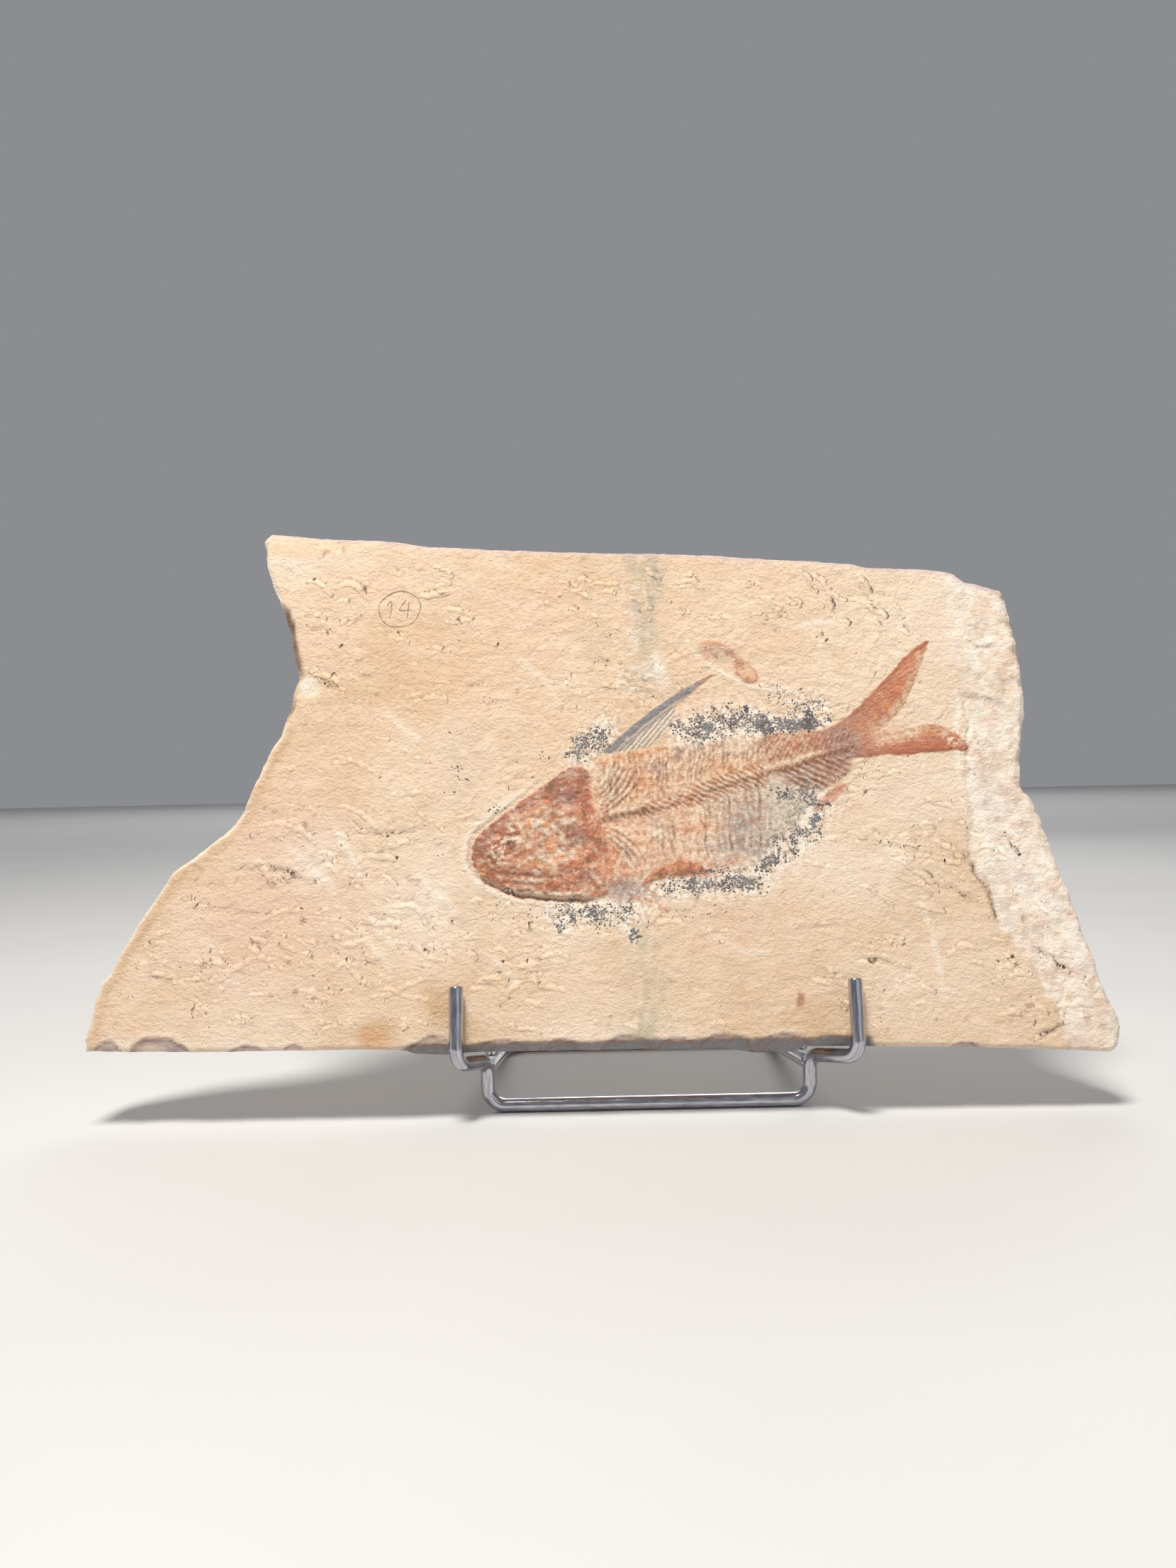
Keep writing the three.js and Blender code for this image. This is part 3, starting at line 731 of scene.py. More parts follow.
    # upright ribs of the belly
    lean = across + 0.05 * rise + 0.9 * sway + 0.25 * jitter
    ribs = comb(lean / 1.8, 1.4)
    zone = under * ramp(1.5, 4.0, -rise) * span(across, 13, 17, 56, 64)
    zone *= (0.20 + 0.80 * fade) * ramp(54.0, 57.5, up)
    out += 0.65 * rib * (ribs - 0.35) * zone
    lay(tones, zone, umber=0.26 * (1 - ribs), cream=0.28 * ribs)
    deep = on * ramp(1, 4, -rise) * ramp(54.5, 57, up)
    lay(tones, deep, moss=0.75 * bell(across - 22.0, 0.75), pink=0.45 * bell(across - 24.6, 0.9))
    for centre in (31.5, 38.6, 41.3, 44.6, 47.6):
        line = bell(lean - centre, 0.34) * on * ramp(1, 3, -rise) * ramp(56, 59, up)
        lay(tones, line, umber=0.25, slate=0.25)
        out -= 0.03 * line
    blots(tones, on, BODY_SPOTS, across, up, grit, jitter)
    lay(tones, on * spot(across + 0.5 * grit, up, 17.6, 63, 2.2, 1.4, 0.6), cream=0.6)
    lay(tones, on * spot(across + 2 * jitter, up + jitter, 33, 61.4, 5.5, 1.6, 0.9), cream=0.5)
    lay(tones, on * spot(across, up, 38, 88.5, 14, 3.0, 0.7) * (0.7 + 0.4 * jitter), slate=0.34)
    lay(tones, on * streak(across, up, [[3, 86.5], [9, 87], [15, 88.2]], 1.1), ochre=0.5)
    lay(tones, on * streak(across, up, [[-1, 85.6], [8, 86.6], [17, 88.8]], 1.4), orange=0.4)

    # curved rib bundles just behind the gill, above the spine and below it
    upper = [[0.5, 69.6], [4, 72], [8, 75.2], [11, 79], [12.6, 82.6]]
    upper_step = [[-0.1, 1.5], [-0.4, 1.5], [-0.9, 1.55], [-1.25, 1.4], [-1.6, 0.75]]
    lower = [[0.4, 66.2], [4.6, 65.4], [9.2, 62.4], [12.8, 58.6], [14.8, 54.6]]
    lower_step = [[0, -1.3], [-0.2, -1.6], [-0.8, -1.7], [-1.4, -1.2], [-2.0, -0.6]]
    for start, step, count, rises, widths, pale, dark, less, shift in (
        (upper, upper_step, 6, (0.16, 0.12), (0.50, 0.42), 0.60, 0.62, 0.09, (-0.50, 0.62)),
        (lower, lower_step, 4, (0.14, 0.10), (0.55, 0.38), 0.55, 0.40, 0.0, (0.40, 0.70)),
    ):
        for number in range(count):
            points = rounded(rib_arc(number, start, step), rounds=1)
            swayed = across + 0.25 * jitter
            lit = streak(swayed, up, points, widths[0]) * on
            shade = streak(swayed + shift[0], up + shift[1], points, widths[1]) * on
            out += rises[0] * lit - rises[1] * shade
            lay(tones, lit, cream=pale)
            lay(tones, shade, orange=0.50, umber=dark * (1 - less * number))
    leaf = streak(across, up, [[3.6, 62.8], [6.2, 60.2], [8.8, 57.2], [11.4, 53.6]], 1.3) * on
    lay(tones, leaf, slate=0.50, moss=0.40)

    # ventral band and its loose rays
    outline = rounded(VENTRAL_BAND, closed=True)
    band = ramp(-0.5, 0.5, inside(across + 0.4 * grit, up + 0.3 * jitter, outline))
    out += 0.10 * band
    low_part = 1 - ramp(0.4, 2.4, near(across, up, VENTRAL_BAND[:5])[0] + 0.5 * grit)
    blots(tones, 1.0, BREAST_SPOTS, across, up, grit, jitter)
    lay(tones, band, cream=np.clip(1.3 * grit - 0.10, 0.0, 0.7))
    dim(tones, band, cream=0.8, pink=0.8, slate=0.8)
    lay(
        tones, band, orange=1.05, rust=0.40 + 0.4 * jitter + 0.3 * grit,
        umber=low_part * (0.35 + 0.3 * grit) + np.clip(-0.9 * grit - 0.05, 0.0, 0.4),
    )
    fin_line = [[31, 52.6], [36, 53.2], [41, 54.4], [45.6, 55.4]]
    lay(tones, streak(across, up, fin_line, 0.9), orange=0.55)
    lay(tones, streak(across, up, [[33, 51.2], [38, 51.8], [44, 51.8]], 0.5), umber=0.55)
    for points in LOOSE_RAYS:
        mark = streak(across + 0.3 * jitter, up, points, 0.6)
        lay(tones, mark, orange=0.65, umber=0.25)
        out += 0.05 * mark
    return out, on


# The tail's inner, frayed edge, and its two outer edges.
TAIL_INNER = [
    [107, 93.2], [102, 95.4], [96, 94.2], [90, 93.2], [85, 94], [90, 97], [93.5, 101], [96.3, 106],
    [98.6, 111.5], [100.6, 116.5],
]
TAIL_TOP = [[70, 93.8], [76, 97.4], [85, 105.6], [91, 112], [96, 117.4], [103, 122]]
TAIL_LOW = [[82, 85.4], [97, 86.4], [108, 86.8], [112, 86.8]]
TAIL_ROOT = (58.0, 88.6)


def tail_fin(across, up, tones, jitter, grit):
    """Height of the tail: a thin pad scored by two combs of rays that count the angle about its
    root, with its colours thinned out along the frayed inner edge."""
    tail = inside(across + 0.3 * grit, up + 0.25 * jitter, rounded(TAIL, closed=True, rounds=1))
    on = ramp(-0.4, 0.5, tail)
    angle = np.degrees(np.arctan2(up - TAIL_ROOT[1], across - TAIL_ROOT[0]))
    reach = np.hypot(up - TAIL_ROOT[1], across - TAIL_ROOT[0])
    rays = comb(angle / 1.75 + 0.16 * jitter, 1.3)
    fine = comb(angle / 0.95 + 0.2 * jitter, 1.2)
    out = on * (0.16 + 0.07 * (rays - 0.4) + 0.035 * (fine - 0.4) * ramp(22, 34, reach))
    lower = 1 - ramp(7.0, 15.0, angle)
    tip = ramp(26.0, 50.0, reach)
    root = on * ramp(6.0, 17.0, reach + 1.5 * jitter)
    fade = 0.5 + 0.5 * ramp(-0.4, 0.4, rough(across / 4, up / 4, 105, 3))
    streaks = rough(angle / 1.5, reach / 16, 107, 3)
    stem = 1 - ramp(16, 30, reach)
    red = 0.72 - 0.22 * tip * (1 - lower) + 0.25 * jitter + 0.30 * fade * (0.5 - rays)
    lay(
        tones, root, rust=red + 0.45 * streaks, orange=0.95 + 0.25 * tip, pink=0.26 * stem,
        umber=fade * (0.12 * (1 - rays) + 0.07 * (1 - fine)), violet=0.34 * (1 - ramp(18, 33, reach)),
        cream=fade * (0.10 * rays * fine + 0.10 * stem) + np.clip(0.40 * streaks - 0.14, 0.0, 0.14),
    )
    lay(
        tones, on, cream=np.clip(0.40 * grit - 0.14, 0.0, 0.14),
        umber=np.clip(-0.40 * grit - 0.05, 0.0, 0.2),
    )

    gap = near(across, up, TAIL_INNER)[0] + 0.9 * jitter + 0.5 * streaks
    frayed = (1.0 - ramp(0.2, 3.4, gap)) * on
    dim(tones, frayed, rust=0.85, orange=0.72)
    lay(tones, frayed, ochre=0.55, umber=0.08, cream=np.clip(0.12 + 0.35 * grit, 0.0, 0.32))
    out *= 1.0 - 0.6 * frayed
    above_edge = up - 85.8 - 0.03 * (across - 85.0) + 0.5 * jitter
    thin = lower * on * span(across, 81, 86, 95, 101) * ramp(1.6, 4.4, above_edge)
    dim(tones, thin, rust=0.80, orange=0.55, violet=0.80)
    lay(tones, thin, cream=0.20 + 0.2 * grit, ochre=0.40)
    core = lower * on * ramp(28, 36, reach) * (1 - ramp(2.2, 5.4, up - 86.2 + 0.6 * jitter))
    lay(tones, core, rust=0.95)
    dim(tones, core, umber=0.6, cream=0.8)
    outer = np.minimum(near(across, up, TAIL_TOP)[0], near(across, up, TAIL_LOW)[0])
    lay(tones, bell(outer, 1.1) * root, rust=0.6, umber=0.28)
    worn = spot(across + jitter, up, 108.0, 90.4, 3.6, 2.6, 0.9)
    dim(tones, worn, rust=0.5)
    lay(tones, worn * on * ramp(-0.2, 0.3, grit), cream=0.75)
    lay(tones, bell(tail - 0.5, 0.6) * ramp(20, 30, reach), umber=0.08)
    between = spot(across, up, 86.0, 94.6, 6.6, 2.6, 0.9)
    dim(tones, between, rust=0.75)
    lay(tones, between, orange=0.18 * (0.7 + 0.4 * grit + 0.4 * rays), pink=0.25)
    return out, on


def fins(across, up, tones):
    """Height of the fins: the tail, and a thin pad inside the dorsal fin's blade, its web and the
    anal fin, each scored by a comb of rays square to its own direction."""
    jitter = rough(across / 2.0, up / 2.0, 101, 2)
    grit = rough(across / 0.8, up / 0.8, 103, 2)
    out, covered = tail_fin(across, up, tones, jitter, grit)

    blade = inside(across + 0.15 * grit, up + 0.15 * grit, rounded(FIN_BLADE, closed=True, rounds=1))
    on = ramp(-0.35, 0.4, blade)
    front = near(across, up, rounded(FIN_BLADE[:6], rounds=1))[0] + 0.2 * jitter
    rays = comb((front - 2.5) / 1.25, 1.0) * ramp(1.5, 2.1, front)
    out += on * (0.17 + 0.07 * (rays - 0.4) - 0.06 * bell(front - 1.9, 0.4))
    reddish = ramp(27.0, 35.0, across)
    lay(
        tones, on, slate=1.0 - 0.80 * reddish - 0.55 * rays, cream=0.42 * rays * (1 - reddish),
        violet=0.22 * (1 - reddish), rust=0.95 * reddish,
        umber=0.42 * bell(front - 1.9, 0.5) + 0.35 * bell(front, 0.6) + 0.18 * reddish,
    )
    covered = np.maximum(covered, on)

    web = inside(across + 0.3 * grit, up + 0.3 * jitter, rounded(FIN_WEB, closed=True, rounds=1))
    on = ramp(-0.6, 1.0, web) * (1 - on)
    square = turned(across, up, 49.0)[1]
    rays = comb((square + 0.12 * jitter) / 1.22, 1.2)
    out += on * 0.07 * (rays - 0.3)
    lay(
        tones, on, slate=0.85 * (1 - rays), umber=0.20 * (1 - rays) ** 2, cream=0.75 * rays,
        violet=0.20 * ramp(96, 101, up),
    )

    anal = inside(across + 0.3 * grit, up + 0.3 * grit, rounded(ANAL_FIN, closed=True, rounds=1))
    on = ramp(-0.6, 0.9, anal)
    rays = comb(turned(across, up, 44.0)[1] / 1.1, 1.2)
    out += on * (0.07 + 0.05 * (rays - 0.4))
    lay(tones, on, rust=0.46 + 0.2 * jitter, orange=0.30, umber=0.22 * (1 - rays))
    return out, covered


def stray_fossil(across, up, tones):
    """The small second fossil above the dorsal fin: a thin arc, spots, a round orange patch and
    the pale vein beside them, all as soft lines and ovals."""
    jitter = rough(across / 1.6, up / 1.6, 111, 2)
    outline = rounded(SECOND_FOSSIL, closed=True)
    patch = inside(across + 0.5 * jitter, up + 0.4 * jitter, outline)
    on = ramp(-0.6, 0.7, patch)
    lay(tones, on, orange=0.46 + 0.2 * jitter, umber=np.clip(0.24 + 0.4 * jitter, 0.0, 0.45))
    lay(tones, bell(patch - 0.1, 0.55), rust=0.45 * (0.8 + 0.3 * jitter), umber=0.15)
    arc = streak(across, up, rounded(SECOND_ARC, rounds=1), 0.6)
    lay(tones, arc, rust=0.62)
    lay(tones, streak(across + 0.4 * jitter, up, [[42, 119.8], [43, 117.4], [44, 115]], 0.8), rust=0.4)
    web = spot(across + jitter, up, 38.5, 118.6, 5.6, 2.6, 0.6)
    torn = ramp(0.0, 0.5, rough(across / 1.5, up / 1.5, 113, 2))
    lay(tones, web, pink=0.34, ochre=0.34, slate=0.16, rust=0.42 * torn)
    lay(tones, spot(across, up, 37, 118, 1.0, 0.8, 0.5), umber=0.50)
    lay(tones, spot(across, up, 41, 118.6, 0.9, 0.9, 0.5), umber=0.40)
    vein = streak(across + 0.5 * jitter, up, rounded(SECOND_VEIN, rounds=1), 0.65)
    lay(tones, vein, chalk=0.60)
    return 0.08 * on + 0.06 * arc + 0.16 * vein


# Areas where the minerals grew: line it grew from, its spread and its strength.
GROWTHS = [
    ([[-5, 87.5], [0, 90.5], [3, 95]], 3.6, 0.78),
    ([[28, 93], [33, 94.6], [40, 95.4], [47, 95.6]], 4.0, 1.0),
    ([[50, 95.6], [56, 95.0], [62, 95.2], [68, 95.6]], 1.7, 1.0),
    ([[61, 103], [67, 101.4]], 2.6, 0.42),
    ([[54, 107], [59, 105.4]], 1.8, 0.22),
    ([[36, 52.0], [44, 51.6]], 1.5, 0.62),
    ([[47, 55], [51, 58], [56, 62], [61, 67.5], [63.5, 72]], 5.4, 0.86),
    ([[56, 74], [62, 75]], 3.4, 0.62),
    ([[17, 47.2], [24, 48.0], [30, 47.6], [38, 48.2], [44, 48.4]], 3.2, 0.85),
    ([[-13, 41], [-6, 41.4], [0, 41.6], [6, 40.6], [11, 39.5]], 3.0, 0.72),
    ([[3, 48.4], [8, 47.4], [13, 46]], 2.0, 0.45),
    ([[8, 34.6], [10, 32.4]], 1.8, 0.35),
    ([[-13.5, 37.6], [-11, 35.6]], 1.5, 0.35),
]


def mineral_wash(across, up, tones):
    """The faint blue-grey wash behind the dendrites: for each growth, the bell curve of the
    distance to its line, broken into grains by fine noise, with a paler halo further out."""
    fleck = rough(across / 0.95, up / 0.95, 121, 2)
    cloud = rough(across / 3.2, up / 3.2, 123, 2)
    grains = 0.05 + 0.42 * ramp(0.0, 0.5, fleck + 0.4 * cloud)
    for points, spread, strength in GROWTHS:
        gap = near(across, up, points)[0]
        core = strength * bell(gap, spread)
        lay(tones, core, slate=grains, cream=0.42 * ramp(0.0, 0.4, -fleck))
        lay(tones, strength * bell(gap, 1.5 * spread) * ramp(-0.35, 0.20, -fleck), chalk=1.4)


# The part of the face, in millimetres, that holds the fish and all its marks.
FISH_AREA = (-50, 120, 26, 128)


def face(across, up, look):
    """Height of the whole front face and its colour masks: bedding, plus the head, flank and
    fins where they are; on the fossil the stone's own ridges are quieter."""
    tones = fresh_tones(np.shape(across))
    out = bedding(across, up, tones, look)
    stains(across, up, tones)
    left, right, low, high = FISH_AREA
    here = np.nonzero((across > left) & (across < right) & (up > low) & (up < high))
    a, u = across[here], up[here]
    marks = fresh_tones(a.shape)
    body_out, body_on = flank(a, u, marks, look)
    fin_out, fin_on = fins(a, u, marks)
    off_head = 1.0 - ramp(-1.4, 0.6, inside(a, u, rounded(HEAD, closed=True)))
    for name in TONES:
        marks[name] *= off_head
    head_out, head_on = skull(a, u, marks, look)
    stray = stray_fossil(a, u, marks)
    mineral_wash(a, u, marks)
    cover = np.clip(np.maximum(np.maximum(body_on, fin_on), head_on), 0.0, 1.0)
    calm = rough(a / 60, u / 50, 13) * 0.26
    body_out = body_out * off_head
    out[here] = out[here] * (1 - 0.7 * cover) + 0.7 * cover * calm
    out[here] += np.maximum(body_out, 0.8 * fin_out) + head_out + stray
    out[here] += np.minimum(body_out, 0.0) * 0.5
    for name in TONES:
        keep = 1.0 - 0.75 * cover if name in ("ochre", "chalk", "moss", "pink", "umber") else 1.0
        tones[name][here] = tones[name][here] * keep + marks[name]
    return out, tones

# ---------------------------------------------------------------- mesh helpers


def make_piece(name, points, faces, material):
    """One mesh object at the origin from whole arrays of points and of faces, smooth shaded."""
    mesh = bpy.data.meshes.new(name)
    corners = np.concatenate([part.ravel() for part in faces]).astype(np.int32)
    sizes = np.concatenate([np.full(len(part), part.shape[1]) for part in faces])
    starts = np.concatenate([[0], np.cumsum(sizes)[:-1]]).astype(np.int32)
    mesh.vertices.add(len(points))
    mesh.vertices.foreach_set("co", np.ascontiguousarray(points, np.float32).ravel())
    mesh.loops.add(len(corners))
    mesh.loops.foreach_set("vertex_index", corners)
    mesh.polygons.add(len(sizes))
    mesh.polygons.foreach_set("loop_start", starts)
    mesh.update(calc_edges=True)
    if mesh.validate():
        raise RuntimeError(name + " has a faulty face")
    mesh.shade_smooth()
    mesh.materials.append(material)
    piece = bpy.data.objects.new(name, mesh)
    bpy.context.scene.collection.objects.link(piece)
    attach(piece, "root")
    return piece


# The masks as three stored layers of four.
TONE_LAYERS = {"stone_tone": TONES[4:8], "stain_tone": TONES[8:12], "fossil_tone": TONES[0:4]}


def paint(piece, tones):
    """Stores the masks as three colour attributes of four masks each."""
    for title in ("fossil_tone", "stone_tone", "stain_tone"):
        values = np.stack([np.clip(tones[name], 0.0, 1.0) for name in TONE_LAYERS[title]], axis=-1)
        layer = piece.data.attributes.new(title, "FLOAT_COLOR", "POINT")
        layer.data.foreach_set("color", values.astype(np.float32).ravel())


def grid_faces(columns, rows, first=0, flip=False):
    """Four-sided faces of a grid of points counted along its rows."""
    across, up = np.meshgrid(np.arange(columns), np.arange(rows))
    corner = (first + up * (columns + 1) + across).ravel()
    quads = np.stack([corner, corner + 1, corner + columns + 2, corner + columns + 1], axis=-1)
    return quads[:, ::-1] if flip else quads


def border(columns, rows, first=0):
    """Point numbers round a grid's edge: along the bottom, up the right, back and down."""
    bottom = np.arange(columns)
    right = np.arange(rows) * (columns + 1) + columns
    top = rows * (columns + 1) + np.arange(columns, 0, -1)
    left = np.arange(rows, 0, -1) * (columns + 1)
    return first + np.concatenate([bottom, right, top, left])


def band_faces(outer, inner):
    """Four-sided faces between two closed loops of as many points."""
    return np.stack([outer, inner, np.roll(inner, -1), np.roll(outer, -1)], axis=-1)


def spacing(cells, finest, spread=6):
    """Fractions from nought to one whose steps are finest at both ends and widen inwards."""
    place = np.arange(cells)
    rank = np.minimum(place, cells - 1 - place)
    steps = np.minimum(1.0, finest + (1.0 - finest) * rank / spread)
    return np.concatenate([[0.0], np.cumsum(steps)]) / np.sum(steps)


def along_line(points, fractions):
    """Points of a line at fractions of its length."""
    line = np.asarray(points, float)
    run = np.concatenate([[0.0], np.cumsum(np.hypot(*np.diff(line, axis=0).T))])
    at = fractions * run[-1]
    return np.stack([np.interp(at, run, line[:, 0]), np.interp(at, run, line[:, 1])], axis=-1)


def chipped(points, fractions, depth, seed, length):
    """The same line with a broken edge: each point moves to the left, which is inwards, by
    noise of its place along the line that fades at the two ends."""
    inward = left_of(unit(np.gradient(points, axis=0)))
    at = fractions * length
    bite = 0.5 + 0.5 * rough(at / 3.6, 0 * at + 0.5, seed, 3)
    bite = depth * np.clip(bite, 0.0, 1.5) * ramp(0.0, 2.0, at) * ramp(0.0, 2.0, length - at)
    return points + inward * bite[:, None]


def sheet_between(bottom, right, top, left, u, v):
    """Points between four edge lines: the mix of bottom and top by v, plus the mix of left and
    right by u, less the straight-sided patch of the four corners."""
    u = u[None, :, None]
    v = v[:, None, None]
    upright = (1 - v) * bottom[None, :, :] + v * top[None, :, :]
    level = (1 - u) * left[:, None, :] + u * right[:, None, :]
    corners = (1 - u) * (1 - v) * bottom[0] + u * (1 - v) * bottom[-1]
    corners = corners + (1 - u) * v * top[0] + u * v * top[-1]
    return upright + level - corners


# ---------------------------------------------------------------- fine panel over the fossil
# The panel's own directions run along the fish and square to it.

PANEL_TILT = 15.0
PANEL_ENDS = (-26.0, 136.0)
PANEL_LOW = [
    [-26, 49], [-16, 41], [-4, 32], [5, 28.5], [20, 29], [35, 31.5], [50, 32.5], [65, 37],
    [80, 45], [95, 50.5], [136, 50],
]
PANEL_HIGH = [
    [-26, 81], [-10, 86], [10, 93], [25, 99], [45, 108], [58, 112], [72, 112], [84, 101],
    [96, 92], [110, 90], [124, 93], [136, 96],
]


def panel_borders(along):
    """Heights of the panel's low and high borders at places along it."""
    low = rounded(PANEL_LOW)
    high = rounded(PANEL_HIGH)
    return np.interp(along, low[:, 0], low[:, 1]), np.interp(along, high[:, 0], high[:, 1])


def panel_place(share_along, share_up):
    """Across and up of a panel point: along runs evenly between the ends, up runs evenly
    between the low and high border curves, and both are then turned by the panel's tilt."""
    along = PANEL_ENDS[0] + (PANEL_ENDS[1] - PANEL_ENDS[0]) * share_along
    base, crown = panel_borders(along)
    return turned(along, base + (crown - base) * share_up, -PANEL_TILT)


def panel_depth(across, up):
    """How far a place lies inside the fine panel, in millimetres; negative outside it."""
    along, square = turned(across, up, PANEL_TILT)
    base, crown = panel_borders(along)
    ends = np.minimum(along - PANEL_ENDS[0], PANEL_ENDS[1] - along)
    return np.minimum(ends, 0.82 * np.minimum(square - base, crown - square))


# ---------------------------------------------------------------- slab


# Where a thin shell has come off below the upper left corner.
CORNER_FLAKE = [[-106, 154.4], [-101, 153.4], [-90, 152.4], [-78, 154.2], [-70, 156.6], [-62, 158.5]]
EDGE_REACH = 26


def face_edges(across, up, sides, out, tones, columns, rows):
    """Lowers the face towards its four broken edges: each side has a bevel whose fall is the
    depth times one less the distance over the width, squared off at its inner border."""
    level = np.arange(rows + 1)[:, None] + 0 * across
    file = np.arange(columns + 1)[None, :] + 0 * across
    all_nibble = 0.5 + 0.5 * rough(across / 2.6, up / 2.6, 131, 3)
    all_slow = rough(across / 11, up / 11, 133, 2)

    def strip(side, chosen):
        """Places near one side, their noises, and their distance to that side's line."""
        zone = np.nonzero(chosen)
        a, u = across[zone], up[zone]
        return zone, a, u, all_nibble[zone], all_slow[zone], near(a, u, sides[side])[0]

    zone, a, u, nibble, slow, gap = strip("top", level >= rows - EDGE_REACH)
    fall = np.clip(1 - gap / (1.0 + 0.9 * nibble + 0.4 * slow), 0, 1)
    out[zone] -= 0.42 * fall ** 1.2 + 0.03
    lay(tones, ramp(0.0, 0.35, fall), zone, chip=0.52)
    lay(tones, ramp(0.0, 0.6, fall) * nibble, zone, ochre=0.25)
    edge, side, _ = near(a + 0.5 * slow, u + 0.4 * nibble, CORNER_FLAKE)
    above = side * edge
    broken = ramp(-0.2, 0.4, above) * (1 - ramp(-70, -64, a))
    stair = above / 1.7 + 0.5 * slow
    stairs = np.floor(stair) + ramp(0.6, 1.0, stair % 1.0)
    out[zone] -= broken * (0.55 + 0.30 * np.clip(stairs, 0, 5))
    lay(tones, broken, zone, chalk=0.2 * slow, ochre=0.30)
    lay(tones, bell(above, 0.45) * (1 - ramp(-74, -68, a)), zone, umber=0.22)

    zone, a, u, nibble, slow, gap = strip("left", file <= EDGE_REACH)
    notch = span(u, 98, 104, 134, 138)
    width = 0.7 + 0.7 * nibble + 0.4 * slow + 1.7 * notch
    fall = np.clip(1 - gap / width, 0, 1)
    bright = spot(a, u, -87.6, 110.8, 3.4, 3.2, 0.5)
    inner = bell(gap - width - 2.4, 0.7) * (1 - notch) * (1 - ramp(96, 100, u))
    out[zone] -= (0.6 + 0.6 * nibble + 3.8 * notch) * fall + 0.5 * bright * nibble + 0.10 * inner
    lay(tones, ramp(0.0, 0.4, fall) * (1 - notch), zone, chalk=0.5)
    lay(tones, ramp(0.1, 0.5, fall) * notch * (1 - spot(a, u, -91, 111, 6, 5, 0.5)), zone, bark=0.85)
    lay(tones, bright, zone, chalk=0.8)
    lay(tones, bell(gap - 2.6, 1.8) * (1 - ramp(96, 100, u)), zone, ochre=0.5)

    zone, a, u, nibble, slow, gap = strip("right", file >= columns - EDGE_REACH)
    fall = np.clip(1 - gap / (0.9 + 1.4 * nibble + 0.6 * slow), 0, 1)
    out[zone] -= (0.8 + 0.9 * nibble) * fall
    lay(tones, ramp(0.0, 0.5, fall), zone, chalk=0.35)
    lay(tones, ramp(0.3, 0.9, fall) * nibble, zone, ochre=0.35)

    zone, a, u, nibble, slow, gap = strip("bottom", level <= EDGE_REACH)
    under = span(a, -60, -56, 75, 79)
    lip = 2.75 + 0.25 * slow + 0.35 * rough(a / 5, u / 60, 135, 2) - u
    cut = np.clip(lip, 0.0, 4.0) * under
    plain = np.clip(1 - gap / (0.7 + 0.6 * nibble), 0, 1) * (1 - under)
    out[zone] -= 1.35 * cut + 0.7 * plain
    # painted shade: the downward-facing band under the lower edge is laid slate and violet, with a dark
    # umber line along its lip
    lay(tones, ramp(0.0, 0.6, cut), zone, violet=0.50, slate=0.86, bark=0.20)
    lay(tones, bell(lip - 0.15, 0.30) * under, zone, umber=0.55)
    lay(tones, ramp(0.0, 0.5, plain) * (1 - np.clip(gap, 0, 9) / 9), zone, chalk=0.25)
    for left, right, crown, depth in CHIPS:
        base = -2.2 if right < 80 else -4.0
        reach_across = (a - 0.5 * (left + right)) / (0.5 * (right - left))
        reach_up = (u - base + 0.25 * slow) / (crown - base)
        reach_both = np.hypot(reach_across, reach_up) + 0.07 * rough(a / 4.5, u / 2.6, 137, 3)
        scoop = np.sqrt(np.clip(1 - reach_both**2, 0, 1))
        here = ramp(0.0, 0.25, scoop)
        waves = np.cos(17.0 * reach_both + 1.2 * slow)
        out[zone] -= depth * (0.25 * here + 0.75 * scoop) + 0.09 * here * waves
        # painted shade and highlight: umber in the deeper ripples of each chip and chalk on the raised ones
        lay(
            tones, here, zone, chip=0.60 + 0.30 * slow + 0.25 * (nibble - 0.5),
            umber=0.34 * ramp(0.3, 0.95, waves) * ramp(-0.5, 0.5, slow),
            chalk=0.50 * ramp(0.3, 0.95, -waves),
        )
        # painted shadow along each chip's steep border and a painted highlight on the lip just outside it
        rim = bell(reach_both - 0.97, 0.06) * (u > base)
        lay(tones, rim * (0.6 + 0.6 * nibble), zone, umber=0.62)
        lay(tones, bell(reach_both - 1.12, 0.07) * (u > base), zone, chalk=0.35)


# How many loops of points run round the slab's edge, how far the rim of the back stands in,
# and the highest that the face, and a flake on it, may stand.
EDGE_LOOPS = 9
BACK_INSET = 0.85
FACE_LIMIT = 0.62
FLAKE_LIMIT = 0.66


